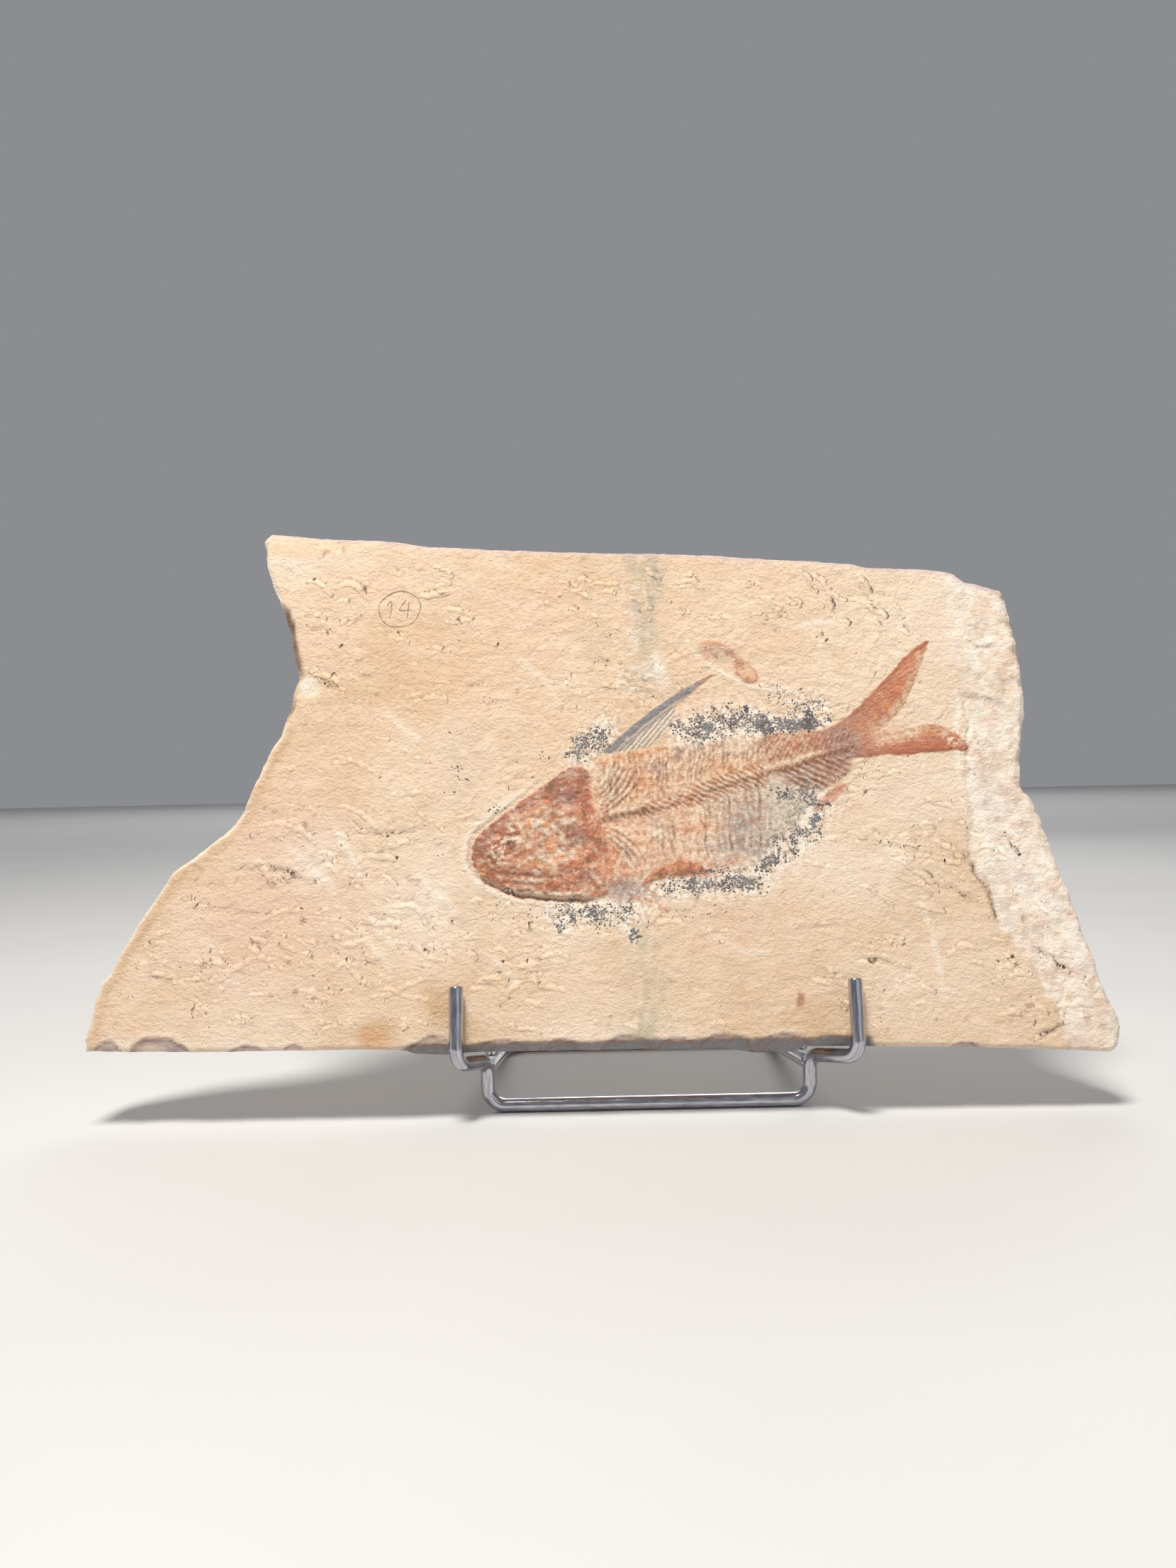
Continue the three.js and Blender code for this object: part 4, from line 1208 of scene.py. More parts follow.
def slab_edge(rim, columns):
    """Loops of points round the edge, from the face's rim towards the back, their colours, and
    the way inwards: each loop steps further back and is bitten inwards by layered noise."""
    forward = unit((np.roll(rim, -1, axis=0) - np.roll(rim, 1, axis=0))[:, :2])
    smooth = forward.copy()
    for shift in (1, 2, 3):
        smooth += np.roll(forward, shift, axis=0) + np.roll(forward, -shift, axis=0)
    inward = left_of(unit(smooth))
    run = np.cumsum(np.hypot(*np.diff(np.vstack([rim, rim[:1]])[:, :2], axis=0).T))
    under = np.arange(len(rim)) < columns
    notch = span(rim[:, 1], 98, 104, 134, 138) * (rim[:, 0] < 0)
    places = []
    shades = []
    for loop in range(EDGE_LOOPS):
        share = (loop + 1.0) / (EDGE_LOOPS + 1.0)
        depth = rim[:, 2] + (-(THICKNESS - 0.9) - rim[:, 2]) * share
        layer = rough(depth / 1.7 + 0.15 * np.sin(run / 30), run / 55, 151, 2)
        bite = 0.42 + 0.34 * layer + 0.34 * rough(run / 4.2, depth / 2.6, 153, 3)
        bite = np.clip(bite, 0.02, 1.6) * np.where(under, 0.5, 1.1)
        bite *= ramp(0.0, 0.16, share) * (0.6 + 0.4 * ramp(0.0, 0.5, share))
        places.append(np.column_stack([rim[:, :2] + inward * bite[:, None], depth]))
        hill = rough(run / 7, depth / 2.4, 155, 3)
        shade = fresh_tones(len(rim))
        lay(
            shade, 1.0, ochre=np.clip(0.45 + 0.4 * hill, 0, 1), chalk=0.35 * np.clip(hill - 0.1, 0, 1),
            bark=np.clip(0.22 + 0.35 * layer, 0, 1) + 0.6 * notch,
            chip=0.45 * under * np.clip(0.6 + 0.5 * hill, 0, 1),
        )
        shades.append(shade)
    return places, shades, inward


def slab_back(rim, columns, rows, u, v):
    """The back, and its colours: a grid of every other point between the sides of its rim,
    hollowed by stepped plates, ridges and fine noise, and bevelled at its border."""
    low = rim[: columns + 1][::2]
    right = rim[columns: columns + rows + 1][::2]
    top = rim[columns + rows: 2 * columns + rows + 1][::2][::-1]
    left = np.vstack([rim[2 * columns + rows:], rim[:1]])[::2][::-1]
    flat = sheet_between(low, right, top, left, u[::2], v[::2])
    a, b = flat[:, :, 0], flat[:, :, 1]
    drift = rough(a / 26, b / 20, 161, 3)
    level = 3.0 * drift + 0.02 * b
    plates = np.floor(level) + ramp(0.75, 1.0, level - np.floor(level))
    ridge = 1.0 - np.abs(rough(a / 9, b / 5, 163, 3))
    hollow = 0.30 + 0.22 * drift + 0.35 * (level - plates + 0.5) + 0.16 * ridge
    hollow = np.clip(hollow + 0.12 * rough(a / 3, b / 3, 167, 3), 0.03, 1.3)
    brink = np.ones(a.shape)
    brink[1:-1, 1:-1] = 0.0
    hollow += 0.55 * brink
    specks = lattice_noise(a / 2.0, b / 2.0, 177) * lattice_noise(a / 14, b / 14, 178) * 2
    tones = fresh_tones(a.shape)
    lay(
        tones, 1.0, ochre=0.30 * ramp(-0.3, 0.8, rough(a / 30, b / 24, 171)),
        bark=0.30 * ramp(0.0, 0.9, rough(a / 12, b / 10, 173)),
        chalk=0.35 * ramp(0.1, 0.9, rough(a / 16, b / 12, 175)) + 0.4 * brink,
        moss=0.30 * bell(a - 14, 8), umber=0.22 * ramp(0.5, 0.9, specks),
    )
    return np.stack([a, b, -THICKNESS + hollow], axis=-1).reshape(-1, 3), tones


def slab_stone(look):
    """The slab as one closed surface: a grid stretched between the four broken edges for the
    face, a rough band of loops round the edge, and a coarser grid for the back."""
    columns, rows = look.columns, look.rows
    u = spacing(columns, 0.30)
    v = spacing(rows, 0.30)
    bottom = chipped(along_line(BOTTOM_EDGE, u), u, 0.22, 141, 300)
    right = chipped(along_line(RIGHT_EDGE, v), v, 0.75, 143, 140)
    top = chipped(along_line(TOP_EDGE, u)[::-1], u, 0.40, 145, 230)[::-1]
    left = chipped(along_line(LEFT_EDGE, v)[::-1], v, 0.60, 147, 190)[::-1]
    flat = sheet_between(bottom, right, top, left, u, v)
    across, up = flat[:, :, 0], flat[:, :, 1]
    out, tones = face(across, up, look)
    sides = {"bottom": bottom, "right": right, "top": top, "left": left}
    face_edges(across, up, sides, out, tones, columns, rows)
    out -= 0.45 * ramp(1.2, 2.8, panel_depth(across, up))
    front = np.stack([across, up, np.minimum(out, FACE_LIMIT)], axis=-1).reshape(-1, 3)

    ring = border(columns, rows)
    rim = front[ring]
    places, shades, inward = slab_edge(rim, columns)
    back, back_tones = slab_back(rim[:, :2] + inward * BACK_INSET, columns, rows, u, v)
    whole = np.vstack([front, *places, back])
    parts = (tones, *shades, back_tones)
    shade = {name: np.concatenate([part[name].ravel() for part in parts]) for name in TONES}

    faces = [grid_faces(columns, rows)]
    outer = ring
    first = len(front)
    for _ in range(EDGE_LOOPS):
        inner = first + np.arange(len(ring))
        faces.append(band_faces(outer, inner))
        outer = inner
        first += len(ring)
    faces.append(grid_faces(columns // 2, rows // 2, first, flip=True))
    far = border(columns // 2, rows // 2, first)
    ends = np.roll(outer, -2)[::2]
    faces.append(np.stack([outer[::2], far, np.roll(far, -1), ends, outer[1::2]], axis=-1))
    return on_slab(*whole.T), faces, shade


# How far the panel's own relief stands over the face, and where its hidden flat back lies.
PANEL_PROUD = 0.015
PANEL_BACK = -2.4


def fossil_panel(look):
    """The fine panel that carries the fish: a grid between the panel's border curves at the
    face's own height, dipping under the stone at its edge, closed by a flat back."""
    columns, rows = look.panel_columns, look.panel_rows
    share_along, share_up = np.meshgrid(np.linspace(0, 1, columns + 1), np.linspace(0, 1, rows + 1))
    across, up = panel_place(share_along, share_up)
    out, tones = face(across, up, look)
    out += PANEL_PROUD - 0.60 * (1 - ramp(0.0, 0.5, panel_depth(across, up)))
    front = np.stack([across, up, out], axis=-1).reshape(-1, 3)
    ring = border(columns, rows)
    back = front[ring].copy()
    back[:, 2] = PANEL_BACK
    inner = len(front) + np.arange(len(ring))
    faces = [grid_faces(columns, rows), band_faces(ring, inner), inner[::-1][None, :]]
    whole = np.vstack([front, back])
    shade = {name: np.concatenate([tones[name].ravel(), tones[name].ravel()[ring]]) for name in TONES}
    return on_slab(*whole.T), faces, shade


# ---------------------------------------------------------------- split flakes


# Stations along a flake, the tallest a scattered one may be, and the pencilled ring's middle.
FLAKE_STATIONS = 15
TALLEST_FLAKE = 0.11
RING_CENTRE = (-60.2, 135.0)

# Places kept clear of flakes: the pencilled ring and the small second fossil, each with its
# radius; and how far flakes keep outside the head, the body and the tail.
CLEAR_ROUND = [(*RING_CENTRE, 9.0), (42.0, 114.0, 10.0)]
CLEAR_RINGS = [(HEAD, 1.5), (BODY, 1.5), (TAIL, 1.0)]
EDGE_ROOM = 4.5


def flake_lines(look):
    """Middle lines of the flakes, with a height for each: the drawn cracks, and seeded short
    arcs whose middles bow upwards, thinned out by slow noise and kept off the fish and edges."""
    draw = np.random.default_rng(41)
    share = np.linspace(0, 1, FLAKE_STATIONS)
    cracks = []
    for points, _, width in CRACKS:
        line = along_line(rounded(points), share)
        cracks.append(line + 0.55 * width * left_of(unit(np.gradient(line, axis=0))))
    heights = [0.22 * depth for _, depth, _ in CRACKS]
    count = look.flake_count
    middle_across = draw.uniform(-146, 142, count)
    middle_up = draw.uniform(5, 158, count)
    half = np.minimum(0.8 + draw.exponential(1.6, count), 6.0)
    long_ones = np.arange(count) < look.long_flakes
    half = np.where(long_ones, draw.uniform(4.0, 9.0, count), half)
    over_fish = long_ones & (middle_across > -50) & (middle_across < 60)
    middle_across = np.where(over_fish, -0.7 * middle_across - 90, middle_across)
    middle_up = np.where(long_ones, 12 + 0.55 * middle_up, middle_up)
    slant = 30 * ramp(20, 90, middle_across) * ramp(50, 120, middle_up)
    angle = np.radians(draw.normal(-12, 17, count) - slant)
    bow = draw.normal(0.16, 0.14, count) * half
    step = 2.0 * share[None, :] - 1.0
    ahead = half[:, None] * step
    aside = bow[:, None] * (1 - step**2)
    cosine, sine = np.cos(angle)[:, None], np.sin(angle)[:, None]
    across = middle_across[:, None] + ahead * cosine - aside * sine
    up = middle_up[:, None] + ahead * sine + aside * cosine
    outline = np.vstack([BOTTOM_EDGE, RIGHT_EDGE[1:], TOP_EDGE[::-1][1:], LEFT_EDGE[::-1][1:-1]])
    thick = rough(middle_across / 26, middle_up / 20, 191, 2)
    keep = (draw.uniform(0, 1, count) < 0.45 + 0.9 * thick) | long_ones
    for centre_across, centre_up, radius in CLEAR_ROUND:
        keep &= np.hypot(middle_across - centre_across, middle_up - centre_up) > radius
    keep &= (middle_across < 102.0) | (middle_up < 96.0)
    keep &= np.all(inside(across[:, ::7], up[:, ::7], outline) > EDGE_ROOM, axis=1)
    for ring, room in CLEAR_RINGS:
        keep &= np.all(inside(across[:, ::7], up[:, ::7], ring) < -room, axis=1)
    lines = np.concatenate([np.array(cracks), np.stack([across[keep], up[keep]], axis=-1)])
    strength = (0.026 + 0.013 * half[keep]) * draw.uniform(0.5, 1.5, int(keep.sum()))
    strength *= 1.0 - 0.45 * ramp(40, 90, middle_across[keep]) * ramp(80, 120, middle_up[keep])
    return lines, np.concatenate([heights, np.minimum(strength, TALLEST_FLAKE)])


def flake_wedges(look):
    """Each flake as a closed wedge on its line: it rises gently from above to a crest and drops
    steeply below it, and tapers by the root of a sine towards a point at both ends."""
    lines, height = flake_lines(look)
    across, up = lines[:, :, 0], lines[:, :, 1]
    waver = [rough(across / 1.7, up / 1.7, seed, 2) for seed in (193, 195)]
    swing = [rough(across / 7.0, up / 7.0, seed, 2) for seed in (196, 198)]
    lines = lines + 0.36 * np.stack(waver, axis=-1) + 1.1 * np.stack(swing, axis=-1)
    across, up = lines[:, :, 0], lines[:, :, 1]
    beside = left_of(unit(np.gradient(lines, axis=1)))
    count, stations = lines.shape[:2]
    taper = np.sin(np.pi * np.linspace(0.0, 1.0, stations)[None, :] * 0.98 + 0.02) ** 0.6
    taper = np.clip(taper, 0.05, 1.0) * (0.8 + 0.35 * rough(across / 1.6, up / 1.6, 197, 2))
    high = height[:, None] * taper
    shares = np.stack([1.3 + 16.0 * high, 0.0 * high, -0.26 - 1.2 * high], axis=-1)
    across = across[:, :, None] + beside[:, :, 0, None] * shares
    up = up[:, :, None] + beside[:, :, 1, None] * shares
    out, tones = face(across, up, look)
    out += np.stack([0.0 * high - 0.05, high, 0.0 * high - 0.10], axis=-1)
    points = np.stack([across, up, np.minimum(out, FLAKE_LIMIT)], axis=-1).reshape(-1, 3)
    # painted shade: umber on each flake's steep lower border, which faces down away from the light, and
    # more along the drawn cracks
    tones["umber"][:, :, 2] += np.clip(0.10 + 3.4 * high, 0.0, 0.34)
    tones["umber"][: len(CRACKS), :, 2] += 0.30 * taper[: len(CRACKS)]
    flake = np.arange(count) * stations * 3
    first = (flake[:, None] + np.arange(stations - 1)[None, :] * 3).ravel()
    faces = []
    for one, two in ((0, 1), (1, 2), (2, 0)):
        faces.append(np.stack([first + one, first + two, first + two + 3, first + one + 3], axis=-1))
    faces.append(np.stack([flake + 2, flake + 1, flake], axis=-1))
    flake = flake + (stations - 1) * 3
    faces.append(np.stack([flake, flake + 1, flake + 2], axis=-1))
    shade = {name: tones[name].ravel() for name in TONES}
    return on_slab(*points.T), faces, shade


# ---------------------------------------------------------------- dendrites


# Steps up the stem of a little tree.
CLIMBS = 6


def dendrite_dots(look):
    """Centres, sizes and turns of the mineral grains. Each little tree stands on a growth line,
    leans outwards and climbs by even steps; at every step two twigs leave to the sides at an
    angle, each shorter the higher it stands, and grain sizes shrink towards the tips."""
    draw = np.random.default_rng(look.seed)
    found = []
    risen = np.arange(CLIMBS)[None, :] / (CLIMBS - 1.0)
    for points, lean, height, count, size in TREES:
        line = rounded(points, rounds=1)
        at = (np.arange(count) + draw.uniform(0, 1, count)) / count
        base = along_line(line, at)
        ahead = along_line(line, np.clip(at + 0.02, 0, 1)) - along_line(line, np.clip(at - 0.02, 0, 1))
        heading = np.arctan2(ahead[:, 1], ahead[:, 0]) + math.radians(90) * lean
        heading += draw.normal(0, 0.50, count)
        tall = height * draw.uniform(0.45, 1.15, count)
        base += draw.normal(0, 1.1, base.shape)
        climb = tall[:, None] * risen
        way = heading[:, None] + draw.normal(0, 0.55, count)[:, None] * risen
        stem_across = base[:, 0][:, None] + climb * np.cos(way)
        stem_up = base[:, 1][:, None] + climb * np.sin(way)
        bulk = size * (0.75 + 0.55 * risen) * draw.uniform(0.6, 1.25, stem_up.shape)
        found.append(np.stack([stem_across.ravel(), stem_up.ravel(), bulk.ravel()], axis=-1))
        for hand in (-1, 1):
            for reach in (1, 2, 3):
                angle = way + hand * (0.95 + draw.normal(0, 0.35, stem_up.shape))
                length = reach * 0.80 * (1.15 - 0.5 * risen) * draw.uniform(0.8, 1.2, stem_up.shape)
                twig_across = stem_across + length * np.cos(angle)
                twig_up = stem_up + length * np.sin(angle)
                grain = size * (0.78 + 0.06 * reach) * draw.uniform(0.5, 1.25, twig_up.shape)
                keep = draw.uniform(0, 1, twig_up.shape) < 0.46 - 0.11 * reach
                found.append(np.stack([twig_across[keep], twig_up[keep], grain[keep]], axis=-1))
    for centre_across, centre_up, spread_across, spread_up, count, size in SPECKS:
        place = draw.normal(0, 1, (count, 2)) * [spread_across, spread_up] + [centre_across, centre_up]
        bulk = size * draw.uniform(0.5, 1.3, count)
        found.append(np.column_stack([place, bulk]))
    return np.vstack(found)


# Little trees: base line, the hand they lean to, height, how many, and grain size.
TREES = [
    ([[27, 93.6], [33, 95.0], [41, 95.8], [50, 95.6]], 1, 5.4, 22, 0.33),
    ([[27, 92], [34, 92.8], [42, 93.4], [50, 93.4]], 1, 4.2, 20, 0.28),
    ([[48, 95.4], [55, 94.4], [62, 94.4], [69, 95.2]], 1, 2.2, 26, 0.35),
    ([[50, 96.2], [58, 95.6], [67, 96.2]], 1, 1.2, 16, 0.33),
    ([[60, 99], [70, 98.6]], 1, 5.4, 9, 0.26),
    ([[52, 104], [60, 103.4]], 1, 4.0, 4, 0.24),
    ([[-7, 86.4], [-3, 89], [2, 90]], 1, 5.0, 11, 0.32),
    ([[-6, 89], [0, 93], [4, 95]], 1, 3.4, 7, 0.28),
    ([[63, 75], [64.5, 70], [63, 65.6], [58.6, 60.6], [53.4, 57.0], [48, 55.0]], 1, 3.6, 20, 0.33),
    ([[58, 75], [60, 69], [57, 64], [52, 60.4]], 1, 4.4, 9, 0.28),
    ([[44, 52], [36, 50.4], [28, 49.4], [18, 47.4]], 1, 4.2, 16, 0.30),
    ([[44, 50], [36, 48.6], [28, 48.0]], 1, 3.0, 8, 0.33),
    ([[10, 43.4], [2, 42.4], [-6, 42.0], [-13, 42.6]], 1, 4.4, 14, 0.31),
    ([[12, 41], [6, 39.4], [-2, 39.4], [-10, 40]], 1, 4.0, 8, 0.29),
]

# Loose grains: centre, spread both ways, how many, and grain size.
SPECKS = [
    (9.4, 33.0, 0.9, 1.1, 34, 0.40), (-12, 36.6, 1.0, 1.0, 26, 0.36), (-2, 40.6, 2.6, 1.2, 40, 0.34),
    (44.5, 47.4, 2.2, 1.6, 40, 0.36), (49.8, 53.0, 1.2, 1.7, 24, 0.38), (48, 51.6, 1.2, 1.0, 14, 0.34),
    (20.5, 46.6, 2.4, 1.4, 26, 0.33), (27.5, 47.0, 2.6, 1.3, 24, 0.33), (37, 47.6, 2.6, 1.4, 24, 0.33),
    (65.0, 66.6, 1.0, 0.7, 22, 0.40), (66.4, 62, 0.6, 0.9, 12, 0.34), (56, 74.4, 1.6, 1.4, 40, 0.32),
    (64, 72.4, 1.4, 1.0, 30, 0.32), (31, 98.0, 2.2, 1.6, 34, 0.36), (30, 93.4, 2.2, 1.6, 30, 0.34),
    (40, 97.4, 4.5, 1.2, 44, 0.33),
    (63.5, 95.0, 3.6, 0.8, 40, 0.36), (54, 94.6, 2.8, 0.7, 24, 0.34), (34, 51.8, 3.4, 0.6, 24, 0.34),
    (-5, 91, 1.4, 2.2, 30, 0.32), (1, 94.4, 2.0, 1.4, 22, 0.28), (-15, 87.4, 1.4, 0.7, 8, 0.24),
    (-30.5, 71.8, 1.2, 0.7, 10, 0.28), (57, 106.8, 1.4, 0.8, 8, 0.26), (66, 101.4, 2.0, 1.6, 24, 0.28),
    (-42, 95.6, 2.0, 0.6, 9, 0.24), (-42.5, 84.6, 1.4, 0.5, 9, 0.24), (-41, 81, 1.0, 0.5, 8, 0.24),
    (-44, 77, 1.4, 0.7, 7, 0.22), (-52, 66, 2, 1, 6, 0.2), (-46, 58, 2, 1.4, 7, 0.2),
    (-30, 43, 1.4, 1.0, 8, 0.22), (-20, 39.5, 2.4, 1.0, 10, 0.24), (24, 40, 3.4, 1.6, 12, 0.22),
    (82, 82.6, 2.6, 1.0, 12, 0.22), (76, 79.6, 1.6, 1.0, 10, 0.22),
]


GRAIN_SIDES = 6


def dendrite_grains(look):
    """Every grain as a low closed bead: a six-sided ring at the face's height, its middle raised
    and its underside just below the stone, so that only the dark crown shows."""
    dots = dendrite_dots(look)
    count = len(dots)
    turn = np.linspace(0, 2 * math.pi, GRAIN_SIDES, endpoint=False)[None, :]
    spin = np.random.default_rng(look.seed + 1).uniform(0, 6.28, count)[:, None]
    wobble = np.random.default_rng(look.seed + 2).uniform(0.65, 1.25, (count, GRAIN_SIDES))
    size = dots[:, 2][:, None] * look.grain_scale
    across = dots[:, 0][:, None] + size * wobble * np.cos(turn + spin)
    up = dots[:, 1][:, None] + size * wobble * np.sin(turn + spin)
    height = face(np.column_stack([dots[:, 0], across]), np.column_stack([dots[:, 1], up]), look)[0]
    ring = np.stack([across, up, height[:, 1:] + 0.005], axis=-1)
    crown = np.stack([dots[:, 0], dots[:, 1], height[:, 0] + 0.06 + 0.10 * dots[:, 2]], axis=-1)
    foot = np.stack([dots[:, 0], dots[:, 1], height[:, 0] - 0.15], axis=-1)
    whole = np.vstack([ring.reshape(-1, 3), crown, foot])
    first = np.arange(count * GRAIN_SIDES).reshape(count, GRAIN_SIDES)
    after = np.roll(first, -1, axis=1)
    top = np.broadcast_to((count * GRAIN_SIDES + np.arange(count))[:, None], first.shape)
    crowns = np.stack([first, after, top], axis=-1).reshape(-1, 3)
    feet = np.stack([after, first, top + count], axis=-1).reshape(-1, 3)
    return on_slab(*whole.T), [crowns, feet]


# ---------------------------------------------------------------- pencilled number


# The digits' strokes, and how many stations each has.
STROKES = [
    [[-64.2, 136.2], [-62.9, 137.7], [-62.6, 137.2], [-62.8, 134.6], [-63.2, 132.3]],
    [[-58.2, 138.0], [-59.4, 136.3], [-60.6, 134.5], [-58.6, 134.4], [-56.4, 134.7]],
    [[-57.3, 137.4], [-57.5, 135.2], [-57.9, 132.0]],
]
STROKE_STATIONS = 26


def pencil_lines(look):
    """A hand-drawn ring and the plain number 14 inside it, as lines: the ring is a circle whose
    radius wavers with the angle and whose ends overlap, the digits are short strokes."""
    angle = np.linspace(math.radians(70), math.radians(70 + 378), 90)
    radius = look.ring_diameter / 2 * (1.0 + 0.035 * np.sin(2 * angle + 0.6) + 0.02 * np.sin(5 * angle))
    across = RING_CENTRE[0] + radius * np.cos(angle)
    up = RING_CENTRE[1] + 0.93 * radius * np.sin(angle)
    share = np.linspace(0, 1, STROKE_STATIONS)
    strokes = [along_line(rounded(stroke, rounds=1), share) for stroke in STROKES]
    return [np.stack([across, up], axis=-1)] + strokes


# A pencil ridge's five points: their places over its half width, and their heights.
RIDGE_SHARES = np.array([-1.0, -0.45, 0.45, 1.0, 0.0])
RIDGE_RISES = np.array([-0.06, 0.085, 0.085, -0.06, -0.25])


def pencil_ribbons(look):
    """Each pencil line as a low closed ridge: five points across it at every station, the outer
    two in the stone, the middle one just proud of it, and its width wavering along the line."""
    points = []
    faces = []
    first = 0
    loop = np.arange(len(RIDGE_SHARES))
    for number, line in enumerate(pencil_lines(look)):
        stations = len(line)
        beside = left_of(unit(np.gradient(line, axis=0)))
        at = np.arange(stations) * 0.45
        half = 0.5 * look.line_width * (0.85 + 0.35 * rough(at / 1.3, 0 * at, 181 + number, 2))
        station = np.arange(stations)
        half = half * ramp(0, 2.0, np.minimum(station, station[::-1]) + 0.6)
        across = line[:, 0][:, None] + beside[:, 0][:, None] * half[:, None] * RIDGE_SHARES
        up = line[:, 1][:, None] + beside[:, 1][:, None] * half[:, None] * RIDGE_SHARES
        height = face(across, up, look)[0] + RIDGE_RISES
        points.append(np.stack([across, up, height], axis=-1).reshape(-1, 3))
        start = (first + np.arange(stations - 1) * len(loop))[:, None]
        here = start + loop[None, :]
        after = start + np.roll(loop, -1)[None, :]
        quads = np.stack([here, here + len(loop), after + len(loop), after], axis=-1)
        faces.append(quads.reshape(-1, 4))
        faces.append((first + loop)[None, :])
        faces.append((first + (stations - 1) * len(loop) + loop[::-1])[None, :])
        first += stations * len(loop)
    return on_slab(*np.vstack(points).T), faces


# ---------------------------------------------------------------- bent wires

PRONG_LEFT, PRONG_RIGHT, PRONG_TOP, PRONG_OUT = -42.5, 73.2, 19.5, 3.0
RUN_UP = -2.8
LEG_LEFT, LEG_RIGHT, FOOT_Y = -34.8, 61.7, 12.0
RAIL_START_Y, RAIL_START_HEIGHT, REAR_Y = 14.9, 12.4, 92.0
REST_FOOT_Y, REST_UP = 27.0, 95.0
WIRE_RADIUS = 2.1


def stand_point(x, y, z):
    """A point of the upright stand, in metres, from its millimetres."""
    return np.array([ACROSS_ORIGIN + x, DEPTH_ORIGIN + y, z]) * MM


def leg_top(across):
    """Where the run under the slab meets the top of a leg."""
    out = (RUN_UP * math.sin(LEAN) - FOOT_Y) / math.cos(LEAN)
    return on_slab(across, RUN_UP, out)


def rail_height(y):
    """Height of the sloping rail's middle at a distance back: a straight fall to the table."""
    fall = (RAIL_START_HEIGHT - WIRE_RADIUS) / (REAR_Y - RAIL_START_Y)
    return RAIL_START_HEIGHT - fall * (y - RAIL_START_Y)


def wire_routes():
    """Each wire's corners in metres and its bend radii in millimetres."""
    hook = [
        on_slab(PRONG_LEFT, PRONG_TOP, PRONG_OUT), on_slab(PRONG_LEFT, RUN_UP, PRONG_OUT),
        leg_top(LEG_LEFT), stand_point(LEG_LEFT, FOOT_Y, WIRE_RADIUS),
        stand_point(LEG_RIGHT, FOOT_Y, WIRE_RADIUS), leg_top(LEG_RIGHT),
        on_slab(PRONG_RIGHT, RUN_UP, PRONG_OUT), on_slab(PRONG_RIGHT, PRONG_TOP, PRONG_OUT),
    ]
    rear = [
        stand_point(LEG_LEFT, RAIL_START_Y, RAIL_START_HEIGHT), stand_point(LEG_LEFT, REAR_Y, WIRE_RADIUS),
        stand_point(LEG_RIGHT, REAR_Y, WIRE_RADIUS),
        stand_point(LEG_RIGHT, RAIL_START_Y, RAIL_START_HEIGHT),
    ]
    behind = -THICKNESS - 0.3 - WIRE_RADIUS - 0.1
    foot = rail_height(REST_FOOT_Y) + WIRE_RADIUS + 0.7
    rest = [
        stand_point(LEG_LEFT, REST_FOOT_Y, foot), on_slab(LEG_LEFT, REST_UP, behind),
        on_slab(LEG_RIGHT, REST_UP, behind), stand_point(LEG_RIGHT, REST_FOOT_Y, foot),
    ]
    return {
        "hook_wire": (hook, [4.6, 4.4, 5.2, 5.2, 4.4, 4.6]),
        "rear_wire": (rear, [9.0, 9.0]),
        "back_rest": (rest, [10.0, 10.0]),
    }


def wire_path(corners, radii):
    """Stations along the wire: straight stretches between tangent points, and at each corner a
    circular arc turned through 14 even steps about its own centre."""
    stations = [corners[0][None, :]]
    leave = corners[0]
    for before, corner, after, radius in zip(corners[:-2], corners[1:-1], corners[2:], radii):
        back = (before - corner) / np.linalg.norm(before - corner)
        on = (after - corner) / np.linalg.norm(after - corner)
        half = math.acos(float(np.clip(np.dot(back, on), -1, 1))) / 2
        middle = (back + on) / np.linalg.norm(back + on)
        size = radius * MM
        centre = corner + middle * size / math.sin(half)
        spoke = corner + back * size / math.tan(half) - centre
        along = np.cross(np.cross(back, on), spoke)
        along = -along / np.linalg.norm(along) * np.linalg.norm(spoke)
        if np.dot(along, back) > 0:
            along = -along
        turn = np.linspace(0, math.pi - 2 * half, 15)[:, None]
        arc = centre + np.cos(turn) * spoke + np.sin(turn) * along
        gap = np.linalg.norm(arc[0] - leave)
        pieces = max(2, int(gap / 0.004))
        share = np.linspace(0, 1, pieces, endpoint=False)[1:, None]
        stations.append(leave + share * (arc[0] - leave))
        stations.append(arc)
        leave = arc[-1]
    gap = np.linalg.norm(corners[-1] - leave)
    share = np.linspace(0, 1, max(3, int(gap / 0.004)) + 1)[1:, None]
    stations.append(leave + share * (corners[-1] - leave))
    return np.vstack(stations)


# A wire's rounded tip: distances from its end in millimetres, and shares of the radius there.
TIP_REACH = np.array([0.0, 0.10, 0.30, 0.62, 1.05])
TIP_WIDTH = np.array([0.66, 0.83, 0.93, 0.985, 1.0])


